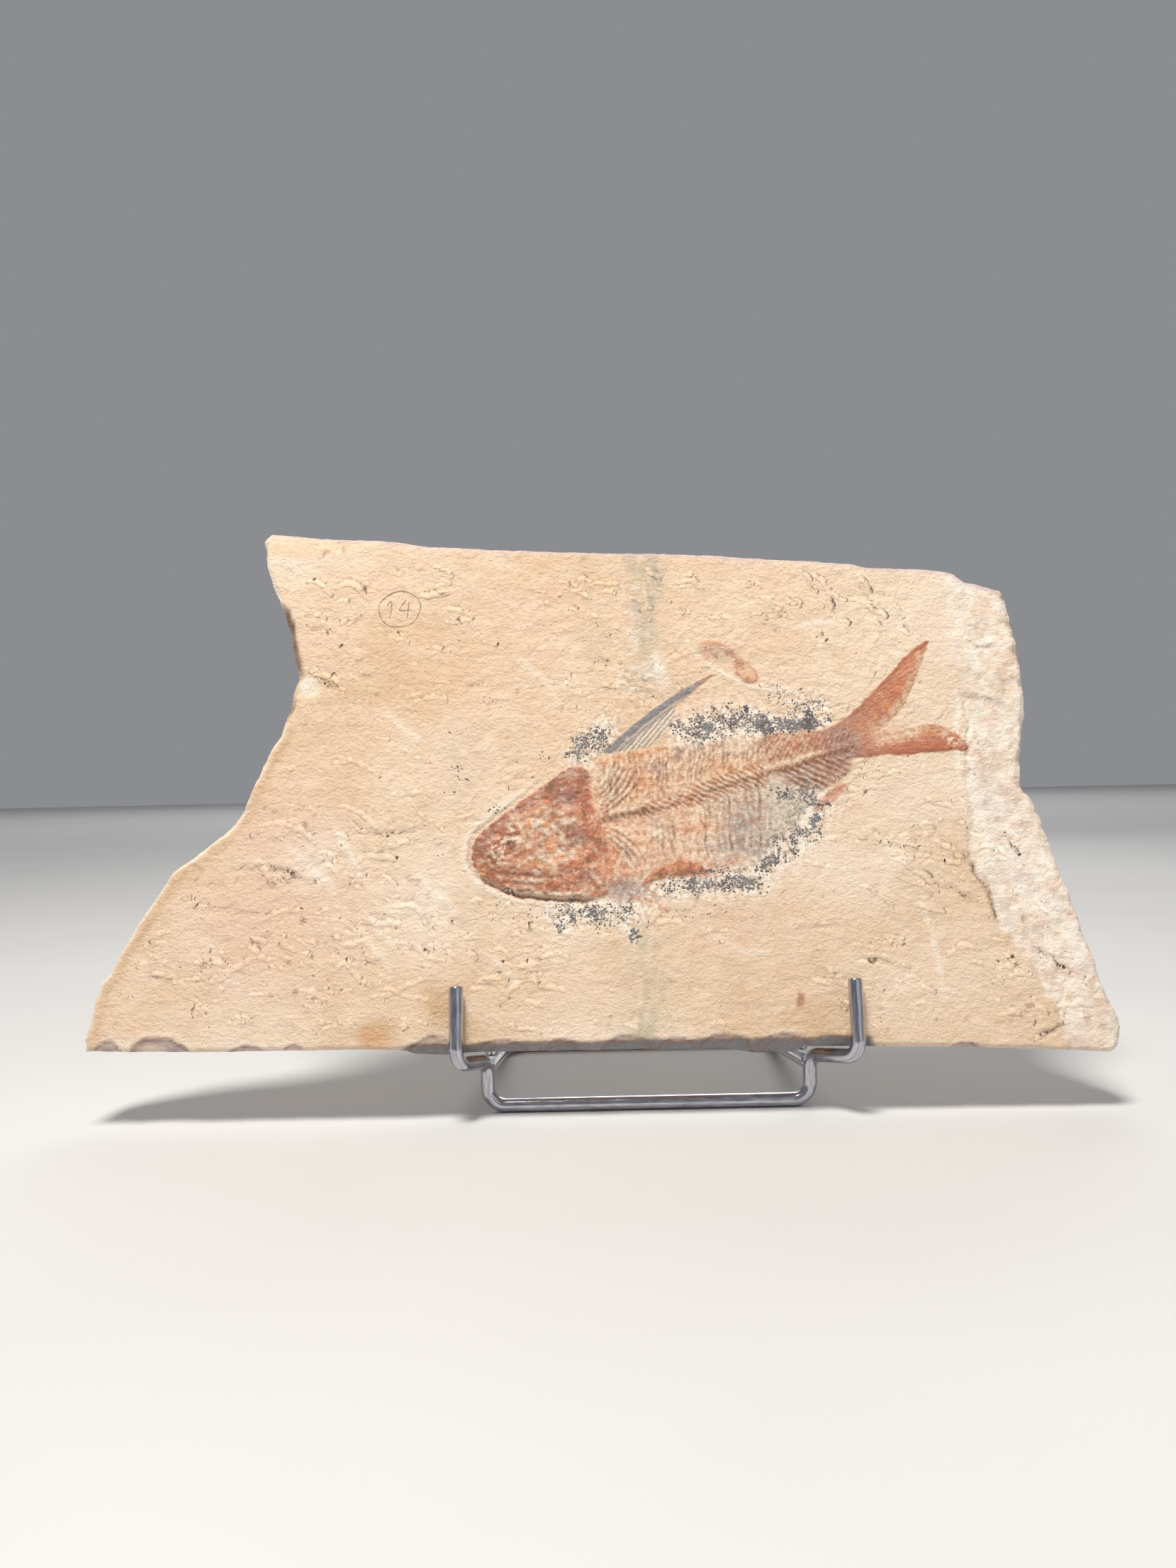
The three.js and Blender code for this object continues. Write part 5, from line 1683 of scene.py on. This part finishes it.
def wire_tube(corners, radii, radius, sides):
    """A round section carried along the wire. The section turns as little as it can from one
    station to the next, its tips are rounded over, and each end closes on a flat disc."""
    path = wire_path(corners, radii)
    start = (path[1] - path[0]) / np.linalg.norm(path[1] - path[0])
    finish = (path[-1] - path[-2]) / np.linalg.norm(path[-1] - path[-2])
    tip = TIP_REACH[:, None] * MM
    path = np.vstack([path[0] + tip * start, path[1:-1], path[-1] - tip[::-1] * finish])
    count = len(path)
    width = np.concatenate([TIP_WIDTH, np.ones(count - 2 * len(tip)), TIP_WIDTH[::-1]]) * radius * MM
    ahead = np.gradient(path, axis=0)
    ahead /= np.linalg.norm(ahead, axis=1)[:, None]
    spare = np.array([1.0, 0.0, 0.0]) if abs(ahead[0][0]) < 0.9 else np.array([0.0, 0.0, 1.0])
    first = np.cross(ahead[0], spare)
    frames = [first / np.linalg.norm(first)]
    for direction in ahead[1:]:
        carried = frames[-1] - np.dot(frames[-1], direction) * direction
        frames.append(carried / np.linalg.norm(carried))
    normal = np.array(frames)
    other = np.cross(ahead, normal)
    turn = np.linspace(0, 2 * math.pi, sides, endpoint=False)
    cosine, sine = np.cos(turn)[None, :, None], np.sin(turn)[None, :, None]
    ring = cosine * normal[:, None, :] + sine * other[:, None, :]
    points = path[:, None, :] + ring * width[:, None, None]
    station = (np.arange(count - 1) * sides)[:, None]
    here = station + np.arange(sides)[None, :]
    after = station + np.roll(np.arange(sides), -1)[None, :]
    quads = np.stack([here, after, after + sides, here + sides], axis=-1).reshape(-1, 4)
    caps = [np.arange(sides)[::-1][None, :], ((count - 1) * sides + np.arange(sides))[None, :]]
    run = np.concatenate([[0.0], np.cumsum(np.linalg.norm(np.diff(path, axis=0), axis=1))]) / MM
    return points.reshape(-1, 3), [quads] + caps, np.repeat(run, sides), np.tile(turn, count)

# ---------------------------------------------------------------- materials


def add_node(material, kind, **sockets):
    """One shader node, with any of its input sockets set by name."""
    node = material.node_tree.nodes.new(kind)
    for name, value in sockets.items():
        node.inputs[name.replace("_", " ")].default_value = value
    return node


def new_material(name):
    """An empty node material and its shader."""
    material = bpy.data.materials.new(name)
    material.use_nodes = True
    shader = material.node_tree.nodes["Principled BSDF"]
    return material, shader


def wire_up(material, source, target):
    """Joins an output socket to an input socket."""
    material.node_tree.links.new(source, target)


def mixed(material, factor, low, high):
    """Colour mix of two sources; each is a socket or a plain colour."""
    node = material.node_tree.nodes.new("ShaderNodeMix")
    node.data_type = "RGBA"
    for socket, value in ((node.inputs[0], factor), (node.inputs[6], low), (node.inputs[7], high)):
        if isinstance(value, bpy.types.NodeSocket):
            wire_up(material, value, socket)
        else:
            socket.default_value = value
    return node.outputs[2]


def worked(material, operation, *values, clamp=False):
    """One arithmetic step; each value is a socket or a number."""
    node = material.node_tree.nodes.new("ShaderNodeMath")
    node.operation = operation
    node.use_clamp = clamp
    for socket, value in zip(node.inputs, values):
        if isinstance(value, bpy.types.NodeSocket):
            wire_up(material, value, socket)
        else:
            socket.default_value = value
    return node.outputs[0]


def spread(material, value, low, high, to_low=0.0, to_high=1.0):
    """Value remapped from one range to another, and kept inside it."""
    node = material.node_tree.nodes.new("ShaderNodeMapRange")
    wire_up(material, value, node.inputs["Value"])
    for name, number in (("From Min", low), ("From Max", high), ("To Min", to_low), ("To Max", to_high)):
        node.inputs[name].default_value = number
    return node.outputs["Result"]


def noise_field(material, place, size, detail=3.0, stretch=(1.0, 1.0, 1.0), turn=0.0, roughness=0.55):
    """Noise of a grain size in millimetres on the piece's own coordinates, which a Mapping node
    first turns about the face's normal and stretches."""
    mapping = add_node(material, "ShaderNodeMapping")
    mapping.inputs["Rotation"].default_value = (0.0, turn, 0.0)
    mapping.inputs["Scale"].default_value = stretch
    wire_up(material, place, mapping.inputs["Vector"])
    noise = add_node(material, "ShaderNodeTexNoise")
    noise.inputs["Scale"].default_value = 1000.0 / size
    noise.inputs["Detail"].default_value = detail
    noise.inputs["Roughness"].default_value = roughness
    wire_up(material, mapping.outputs["Vector"], noise.inputs["Vector"])
    return noise.outputs["Fac"]


def flakes(material, place, size, count, stretch, turn):
    """Split flakes: noise times a count, its fraction falling slowly and then stepping back up
    over the last fifth, which gives tilted scales with crisp edges."""
    noise = noise_field(material, place, size, 4.0, stretch, turn, 0.5)
    part = worked(material, "FRACT", worked(material, "MULTIPLY", noise, count))
    step = spread(material, part, 0.80, 1.0)
    return worked(material, "SUBTRACT", step, part)


def opaque(colour):
    """A colour property as four numbers."""
    return (colour[0], colour[1], colour[2], 1.0)


def own_place(material):
    """The piece's own coordinates."""
    return add_node(material, "ShaderNodeTexCoord").outputs["Object"]


def tinted(material, colour, field, low, high, strength, tint):
    """The colour with a tint laid over it where the field lies above low, fully from high on."""
    return mixed(material, spread(material, field, low, high, 0.0, strength), colour, opaque(tint))


def bumped(material, shader, height, strength, distance):
    """Lets a height bend the shader's normal, by a distance in metres."""
    bump = add_node(material, "ShaderNodeBump", Strength=strength, Distance=distance)
    wire_up(material, height, bump.inputs["Height"])
    wire_up(material, bump.outputs["Normal"], shader.inputs["Normal"])


# The order in which the tones are laid over the stone.
LAID_ORDER = (
    "chalk", "ochre", "moss", "pink", "chip", "bark", "orange", "rust", "violet", "slate", "cream", "umber",
)


def stone_material(look):
    """Limestone: two close stone colours mixed by slow noise and specked by grain, then each
    stored mask lays its own colour over it, its border broken up by the same grain."""
    material, shader = new_material("split_limestone")
    place = own_place(material)
    slow = noise_field(material, place, 34.0, 3.0)
    patch = noise_field(material, place, 7.0, 4.0, (0.7, 1.0, 1.3))
    grain = noise_field(material, place, 1.1, 4.0)
    dust = noise_field(material, place, 0.38, 3.0)
    colour = tinted(material, opaque(look.stone_colour), slow, 0.38, 0.62, 1.0, look.stone_warm)
    colour = tinted(material, colour, patch, 0.44, 0.68, 0.55, look.stone_pale)
    colour = tinted(material, colour, grain, 0.52, 0.70, 0.55, look.stone_shade)
    colour = tinted(material, colour, dust, 0.54, 0.70, 0.50, look.stone_pale)
    flush = noise_field(material, place, 2.6, 4.0, (0.8, 1.0, 1.2), 0.0, 0.65)
    colour = tinted(material, colour, flush, 0.52, 0.70, 0.24, look.pink)
    broken = worked(material, "MULTIPLY_ADD", spread(material, grain, 0.30, 0.70), 0.60, 0.70)

    masks = {}
    for title, names in TONE_LAYERS.items():
        layer = add_node(material, "ShaderNodeAttribute")
        layer.attribute_name = title
        parts = add_node(material, "ShaderNodeSeparateColor")
        wire_up(material, layer.outputs["Color"], parts.inputs[0])
        masks.update(zip(names, [*parts.outputs, layer.outputs["Alpha"]]))
    for name in LAID_ORDER:
        factor = worked(material, "MULTIPLY", masks[name], broken, clamp=True)
        colour = mixed(material, factor, colour, opaque(getattr(look, name)))
    wire_up(material, colour, shader.inputs["Base Color"])

    fine = noise_field(material, place, 0.50, 3.0)
    crumb = noise_field(material, place, 1.25, 4.0, (0.85, 1.0, 1.1), 0.0, 0.68)
    large = flakes(material, place, 8.0, 6.0, (0.75, 1.0, 1.1), math.radians(28))
    strength = spread(material, noise_field(material, place, 16.0, 3.0), 0.36, 0.60, 0.25, 1.0)
    height = worked(material, "MULTIPLY", fine, 0.42)
    height = worked(material, "MULTIPLY_ADD", crumb, 1.25, height)
    height = worked(material, "MULTIPLY_ADD", large, worked(material, "MULTIPLY", strength, 0.13), height)
    bumped(material, shader, height, 0.85, look.grain_relief * MM)
    dull = spread(material, grain, 0.3, 0.7, 0.80, 0.96)
    smoother = worked(material, "MULTIPLY", masks["rust"], 0.20)
    wire_up(material, worked(material, "SUBTRACT", dull, smoother), shader.inputs["Roughness"])
    shader.inputs["Specular IOR Level"].default_value = 0.28
    return material


def dendrite_material(look):
    """Manganese dendrites: blue-black with grey and brown grains, and a faint metallic dullness."""
    material, shader = new_material("mineral_dendrite")
    place = own_place(material)
    cloud = noise_field(material, place, 5.0, 3.0)
    grain = noise_field(material, place, 0.8, 3.0)
    colour = tinted(material, opaque(look.dark), cloud, 0.35, 0.65, 1.0, look.grey)
    colour = tinted(material, colour, grain, 0.50, 0.70, 0.55, look.brown)
    wire_up(material, colour, shader.inputs["Base Color"])
    wire_up(material, spread(material, grain, 0.3, 0.7, 0.60, 0.85), shader.inputs["Roughness"])
    bumped(material, shader, grain, 0.4, 0.00005)
    return material


def pencil_material(look):
    """Pencil: graphite grey that thins out where fine noise leaves the stone bare."""
    material, shader = new_material("pencil_line")
    grain = noise_field(material, own_place(material), 0.7, 4.0)
    colour = tinted(material, opaque(look.graphite), grain, 0.44, 0.66, 1.0, look.worn)
    wire_up(material, colour, shader.inputs["Base Color"])
    wire_up(material, spread(material, grain, 0.3, 0.7, 0.55, 0.85), shader.inputs["Roughness"])
    return material


def chrome_material(look):
    """Bright plated wire: drawing lines along its length and faint handling haze in its gloss."""
    material, shader = new_material("plated_wire")
    layer = add_node(material, "ShaderNodeAttribute")
    layer.attribute_name = "wire_place"
    mapping = add_node(material, "ShaderNodeMapping", Scale=(0.06, 1.0, 1.0))
    wire_up(material, layer.outputs["Vector"], mapping.inputs["Vector"])
    lines = add_node(material, "ShaderNodeTexNoise", Scale=3.2, Detail=3.0)
    wire_up(material, mapping.outputs["Vector"], lines.inputs["Vector"])
    drawn = lines.outputs["Fac"]
    place = own_place(material)
    haze = noise_field(material, place, 9.0, 4.0)
    specks = noise_field(material, place, 1.2, 2.0)
    colour = tinted(material, opaque(look.plating), drawn, 0.35, 0.65, 1.0, look.plating_deep)
    colour = tinted(material, colour, specks, 0.66, 0.74, 0.45, look.plating_deep)
    wire_up(material, colour, shader.inputs["Base Color"])
    shader.inputs["Metallic"].default_value = 1.0
    gloss = spread(material, haze, 0.35, 0.70, look.wire_roughness, look.wire_roughness + 0.14)
    wire_up(material, gloss, shader.inputs["Roughness"])
    bumped(material, shader, drawn, 0.25, 0.00004)
    return material


def floor_material(look):
    """Pale matt floor with the faintest mottle."""
    material, shader = new_material("pale_floor")
    place = add_node(material, "ShaderNodeTexCoord").outputs["Object"]
    mottle = noise_field(material, place, 220.0, 3.0)
    light = opaque(look.floor_colour)
    dark = opaque([0.96 * part for part in look.floor_colour])
    colour = mixed(material, spread(material, mottle, 0.35, 0.65), light, dark)
    wire_up(material, colour, shader.inputs["Base Color"])
    shader.inputs["Roughness"].default_value = 0.85
    shader.inputs["Specular IOR Level"].default_value = 0.2
    return material


# ---------------------------------------------------------------- settings


def colour_setting(name, description, default):
    """A colour property with the usual range."""
    return FloatVectorProperty(
        name=name, description=description, subtype="COLOR", size=3, min=0.0, max=1.0, default=default
    )


class FossilStoneSettings(bpy.types.PropertyGroup):
    """Sizes in millimetres and colours of the slab and the fish in it."""

    columns: IntProperty(
        name="Columns", description="Face grid across, an even number", default=346, min=40
    )
    rows: IntProperty(name="Rows", description="Face grid up, an even number", default=190, min=30)
    panel_columns: IntProperty(
        name="Panel columns", description="Fine grid along the fish", default=560, min=60
    )
    panel_rows: IntProperty(
        name="Panel rows", description="Fine grid square to the fish", default=168, min=30
    )
    long_flakes: IntProperty(
        name="Long flakes", description="How many of them are long wavy lines", default=60, min=0
    )
    flake_count: IntProperty(
        name="Flakes", description="Split flakes tried over the face", default=2200, min=0
    )
    plate_step: FloatProperty(
        name="Plate step", description="Height of the split plates' steps, mm", default=0.27
    )
    wrinkle: FloatProperty(
        name="Wrinkle", description="Height of the split face's ridges, mm", default=0.11
    )
    layer_step: FloatProperty(
        name="Layer step", description="Depth of the missing top layer, mm", default=0.50
    )
    grain_relief: FloatProperty(
        name="Grain relief", description="Relief of the finest grain, mm", default=0.60
    )
    head_height: FloatProperty(
        name="Head height", description="How far the head stands proud, mm", default=0.95
    )
    hollow_depth: FloatProperty(
        name="Hollow depth", description="Depth of the hollow under the jaw, mm", default=0.75
    )
    body_height: FloatProperty(
        name="Body height", description="How far the body stands proud, mm", default=0.28
    )
    rib_height: FloatProperty(
        name="Rib height", description="Height of ribs and spines, mm", default=0.16
    )
    stone_colour: colour_setting("Stone", "Main limestone colour", (0.775, 0.58, 0.405))
    stone_warm: colour_setting("Warm stone", "Honey-coloured areas of the stone", (0.75, 0.54, 0.355))
    stone_pale: colour_setting("Pale stone", "Pale flakes and grains", (0.82, 0.65, 0.49))
    stone_shade: colour_setting("Shaded stone", "Darker grains in the stone", (0.6, 0.42, 0.28))
    rust: colour_setting("Rust", "Red-brown bone", (0.5, 0.165, 0.088))
    orange: colour_setting("Orange", "Orange bone and fin edges", (0.73, 0.305, 0.145))
    violet: colour_setting("Violet", "Violet-brown bruises in the fossil", (0.27, 0.18, 0.185))
    umber: colour_setting("Umber", "Dark brown cracks and bone edges", (0.25, 0.125, 0.072))
    ochre: colour_setting("Ochre", "Iron-stained stone", (0.6, 0.4, 0.22))
    moss: colour_setting("Seep grey", "Grey-green seep stains", (0.5, 0.445, 0.31))
    chalk: colour_setting("Chalk", "Freshly broken pale stone", (0.93, 0.84, 0.73))
    chip: colour_setting("Chip", "Purple-grey chipped edge", (0.53, 0.425, 0.425))
    slate: colour_setting("Slate", "Blue-grey mineral stain", (0.24, 0.25, 0.27))
    cream: colour_setting("Cream", "Cream calcite in the fossil", (0.88, 0.73, 0.56))
    pink: colour_setting("Pink", "Pinkish bone film", (0.73, 0.49, 0.37))
    bark: colour_setting("Bark", "Weathered brown edge faces", (0.32, 0.2, 0.13))


class FossilDendriteSettings(bpy.types.PropertyGroup):
    """Grain size, seed and colours of the mineral dendrites."""

    seed: IntProperty(name="Seed", description="Seed of the trees' shapes", default=27)
    grain_scale: FloatProperty(
        name="Grain scale", description="Size of the grains", default=1.2, min=0.2, max=3.0
    )
    dark: colour_setting("Dark", "Blue-black grains", (0.105, 0.1, 0.105))
    grey: colour_setting("Grey", "Slate-grey grains", (0.235, 0.23, 0.23))
    brown: colour_setting("Brown", "Brown grains", (0.29, 0.235, 0.19))


class FossilPencilSettings(bpy.types.PropertyGroup):
    """Size and colour of the pencilled number."""

    ring_diameter: FloatProperty(
        name="Ring diameter", description="Across the pencilled ring, mm", default=12.6
    )
    line_width: FloatProperty(name="Line width", description="Width of the pencil line, mm", default=0.42)
    graphite: colour_setting("Graphite", "Pencil colour", (0.26, 0.18, 0.14))
    worn: colour_setting("Worn line", "Where the pencil has thinned", (0.5, 0.36, 0.25))


class FossilStandSettings(bpy.types.PropertyGroup):
    """Sizes and finish of the bent-wire stand."""

    wire_radius: FloatProperty(
        name="Wire radius", description="Half the wire's thickness, mm", default=WIRE_RADIUS
    )
    wire_sides: IntProperty(
        name="Wire sides", description="Sides of the round section", default=36, min=8
    )
    wire_roughness: FloatProperty(
        name="Roughness", description="Gloss of the plating", default=0.10, min=0.0, max=1.0
    )
    plating: colour_setting("Plating", "Bright plating", (0.6, 0.6, 0.65))
    plating_deep: colour_setting("Deep plating", "Darker drawing lines", (0.38, 0.38, 0.43))


class FossilStageSettings(bpy.types.PropertyGroup):
    """Floor, lights and camera."""

    floor_colour: colour_setting("Floor", "Floor colour", (0.57, 0.565, 0.555))
    key_power: FloatProperty(
        name="Key light", description="Power of the light above", default=17.2, subtype="POWER"
    )
    fill_power: FloatProperty(
        name="Fill light", description="Power of the front light", default=1.3, subtype="POWER"
    )
    back_power: FloatProperty(
        name="Back light", description="Power of the light behind", default=4.0, subtype="POWER"
    )
    far_power: FloatProperty(
        name="Far light", description="Power of the light over the far floor", default=90.0, subtype="POWER"
    )
    surround: FloatProperty(name="Surround", description="Brightness of the surroundings", default=0.28)
    lens: FloatProperty(
        name="Lens", description="Focal length in millimetres", default=36.04, subtype="NONE"
    )


# ---------------------------------------------------------------- operators


def stone_piece(context, name, shape):
    """One painted piece of the slab's stone, from the function that works out its shape."""
    look = context.scene.fossil_stone
    points, faces, tones = shape(look)
    stone = bpy.data.materials.get("split_limestone") or stone_material(look)
    piece = make_piece(name, points, faces, stone)
    paint(piece, tones)
    return piece


class FOSSIL_OT_slab(bpy.types.Operator):
    """Makes the broken limestone slab and stands it in for the plain one"""

    bl_idname = "fossil.slab"
    bl_label = "Limestone slab"

    def execute(self, context):
        piece = stone_piece(context, "limestone_slab", slab_stone)
        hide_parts("slab")
        return {"FINISHED"}


class FOSSIL_OT_fish(bpy.types.Operator):
    """Makes the finely carved panel of stone that carries the fossil fish"""

    bl_idname = "fossil.fish"
    bl_label = "Fossil fish"

    def execute(self, context):
        stone_piece(context, "fossil_fish", fossil_panel)
        return {"FINISHED"}


class FOSSIL_OT_flakes(bpy.types.Operator):
    """Adds the crisp split flakes and cracks of the face"""

    bl_idname = "fossil.flakes"
    bl_label = "Split flakes"

    def execute(self, context):
        stone_piece(context, "split_flakes", flake_wedges)
        return {"FINISHED"}


class FOSSIL_OT_dendrites(bpy.types.Operator):
    """Scatters the mineral dendrites round the fish"""

    bl_idname = "fossil.dendrites"
    bl_label = "Mineral dendrites"

    def execute(self, context):
        look = LayeredLook(context.scene.fossil_stone, context.scene.fossil_dendrites)
        points, faces = dendrite_grains(look)
        make_piece("mineral_dendrites", points, faces, dendrite_material(look))
        return {"FINISHED"}


class FOSSIL_OT_pencil(bpy.types.Operator):
    """Draws the collector's pencilled ring and number"""

    bl_idname = "fossil.pencil"
    bl_label = "Pencilled number"

    def execute(self, context):
        look = LayeredLook(context.scene.fossil_stone, context.scene.fossil_pencil)
        points, faces = pencil_ribbons(look)
        make_piece("pencil_mark", points, faces, pencil_material(look))
        return {"FINISHED"}


class FOSSIL_OT_stand(bpy.types.Operator):
    """Makes the three bent wires of the stand"""

    bl_idname = "fossil.stand"
    bl_label = "Bent-wire stand"

    def execute(self, context):
        look = context.scene.fossil_stand
        plating = chrome_material(look)
        for node, (corners, radii) in wire_routes().items():
            points, faces, lengthwise, turn = wire_tube(corners, radii, look.wire_radius, look.wire_sides)
            piece = make_piece("bent_" + node, points, faces, plating)
            layer = piece.data.attributes.new("wire_place", "FLOAT_VECTOR", "POINT")
            place = np.stack([lengthwise, np.cos(turn), np.sin(turn)], axis=-1)
            layer.data.foreach_set("vector", place.astype(np.float32).ravel())
            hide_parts(node)
        return {"FINISHED"}


class FOSSIL_OT_stage(bpy.types.Operator):
    """Makes the pale floor, the soft lights and the camera"""

    bl_idname = "fossil.stage"
    bl_label = "Floor, lights and camera"

    def execute(self, context):
        look = context.scene.fossil_stage
        scene = context.scene
        mesh = bpy.data.meshes.new("floor")
        reach = 9.0
        corners = [(-reach, -reach, 0), (reach, -reach, 0), (reach, reach, 0), (-reach, reach, 0)]
        mesh.from_pydata(corners, [], [(0, 1, 2, 3)])
        mesh.materials.append(floor_material(look))
        floor = bpy.data.objects.new("floor", mesh)
        scene.collection.objects.link(floor)

        middle = 0.5 * (CAD_LOW + CAD_HIGH)
        far = Vector((0.0, 4.6, 0.0))
        for name, place, aim, size, power, tint in (
            ("key_light", (-0.16, -0.42, 1.12), middle, 0.34, look.key_power, (1.0, 0.965, 0.92)),
            ("fill_light", (0.75, -1.10, 0.45), middle, 1.20, look.fill_power, (0.94, 0.97, 1.0)),
            ("back_light", (0.35, 1.15, 0.95), middle, 0.90, look.back_power, (1.0, 1.0, 1.0)),
            ("far_light", (0.0, 3.9, 3.2), far, 5.00, look.far_power, (1.0, 1.0, 1.0)),
        ):
            lamp = bpy.data.lights.new(name, "AREA")
            lamp.shape = "DISK"
            lamp.size = size
            lamp.energy = power
            lamp.color = tint
            light = bpy.data.objects.new(name, lamp)
            light.location = place
            light.rotation_euler = (aim - light.location).to_track_quat("-Z", "Y").to_euler()
            scene.collection.objects.link(light)

        world = bpy.data.worlds.new("studio")
        world.use_nodes = True
        background = world.node_tree.nodes["Background"]
        background.inputs["Color"].default_value = (0.93, 0.95, 1.0, 1.0)
        background.inputs["Strength"].default_value = look.surround
        scene.world = world
        scene.view_settings.view_transform = "Standard"

        lens = bpy.data.cameras.new("camera")
        lens.sensor_fit = "HORIZONTAL"
        lens.sensor_width = 36.0
        lens.lens = look.lens
        lens.clip_start = 0.01
        lens.clip_end = 60.0
        camera = bpy.data.objects.new("camera", lens)
        camera.location = (-0.0028, -0.3856, 0.0978)
        camera.rotation_euler = (math.radians(90.0), math.radians(1.2), 0.0)
        scene.collection.objects.link(camera)
        scene.camera = camera
        return {"FINISHED"}


class LayeredLook:
    """The stone's settings, with another group's settings laid over them."""

    def __init__(self, stone, extra):
        self.stone = stone
        self.extra = extra

    def __getattr__(self, name):
        if name in self.extra.bl_rna.properties:
            return getattr(self.extra, name)
        return getattr(self.stone, name)


class FOSSIL_PT_panel(bpy.types.Panel):
    """Lists the pieces and their settings"""

    bl_idname = "FOSSIL_PT_panel"
    bl_label = "Fossil fish slab"
    bl_space_type = "VIEW_3D"
    bl_region_type = "UI"
    bl_category = "Fossil"

    def draw(self, context):
        scene = context.scene
        for group, operators in (
            (scene.fossil_stone, ("fossil.slab", "fossil.fish", "fossil.flakes")),
            (scene.fossil_dendrites, ("fossil.dendrites",)),
            (scene.fossil_pencil, ("fossil.pencil",)),
            (scene.fossil_stand, ("fossil.stand",)),
            (scene.fossil_stage, ("fossil.stage",)),
        ):
            box = self.layout.box()
            for name in group.bl_rna.properties.keys():
                if name not in ("rna_type", "name"):
                    box.prop(group, name)
            for operator in operators:
                box.operator(operator)


CLASSES = (
    FossilStoneSettings, FossilDendriteSettings, FossilPencilSettings, FossilStandSettings,
    FossilStageSettings, FOSSIL_OT_slab, FOSSIL_OT_fish, FOSSIL_OT_flakes,
    FOSSIL_OT_dendrites, FOSSIL_OT_pencil, FOSSIL_OT_stand, FOSSIL_OT_stage, FOSSIL_PT_panel,
)


def register():
    """Registers the classes and gives the scene its settings."""
    for kind in CLASSES:
        bpy.utils.register_class(kind)
    bpy.types.Scene.fossil_stone = PointerProperty(type=FossilStoneSettings)
    bpy.types.Scene.fossil_dendrites = PointerProperty(type=FossilDendriteSettings)
    bpy.types.Scene.fossil_pencil = PointerProperty(type=FossilPencilSettings)
    bpy.types.Scene.fossil_stand = PointerProperty(type=FossilStandSettings)
    bpy.types.Scene.fossil_stage = PointerProperty(type=FossilStageSettings)


def unregister():
    """Takes the settings and the classes away again."""
    for name in ("fossil_stage", "fossil_stand", "fossil_pencil", "fossil_dendrites", "fossil_stone"):
        delattr(bpy.types.Scene, name)
    for kind in reversed(CLASSES):
        bpy.utils.unregister_class(kind)


def main():
    """Builds every piece in order."""
    register()
    bpy.ops.fossil.stage()
    bpy.ops.fossil.slab()
    bpy.ops.fossil.fish()
    bpy.ops.fossil.flakes()
    bpy.ops.fossil.dendrites()
    bpy.ops.fossil.pencil()
    bpy.ops.fossil.stand()


if __name__ == "__main__":
    main()
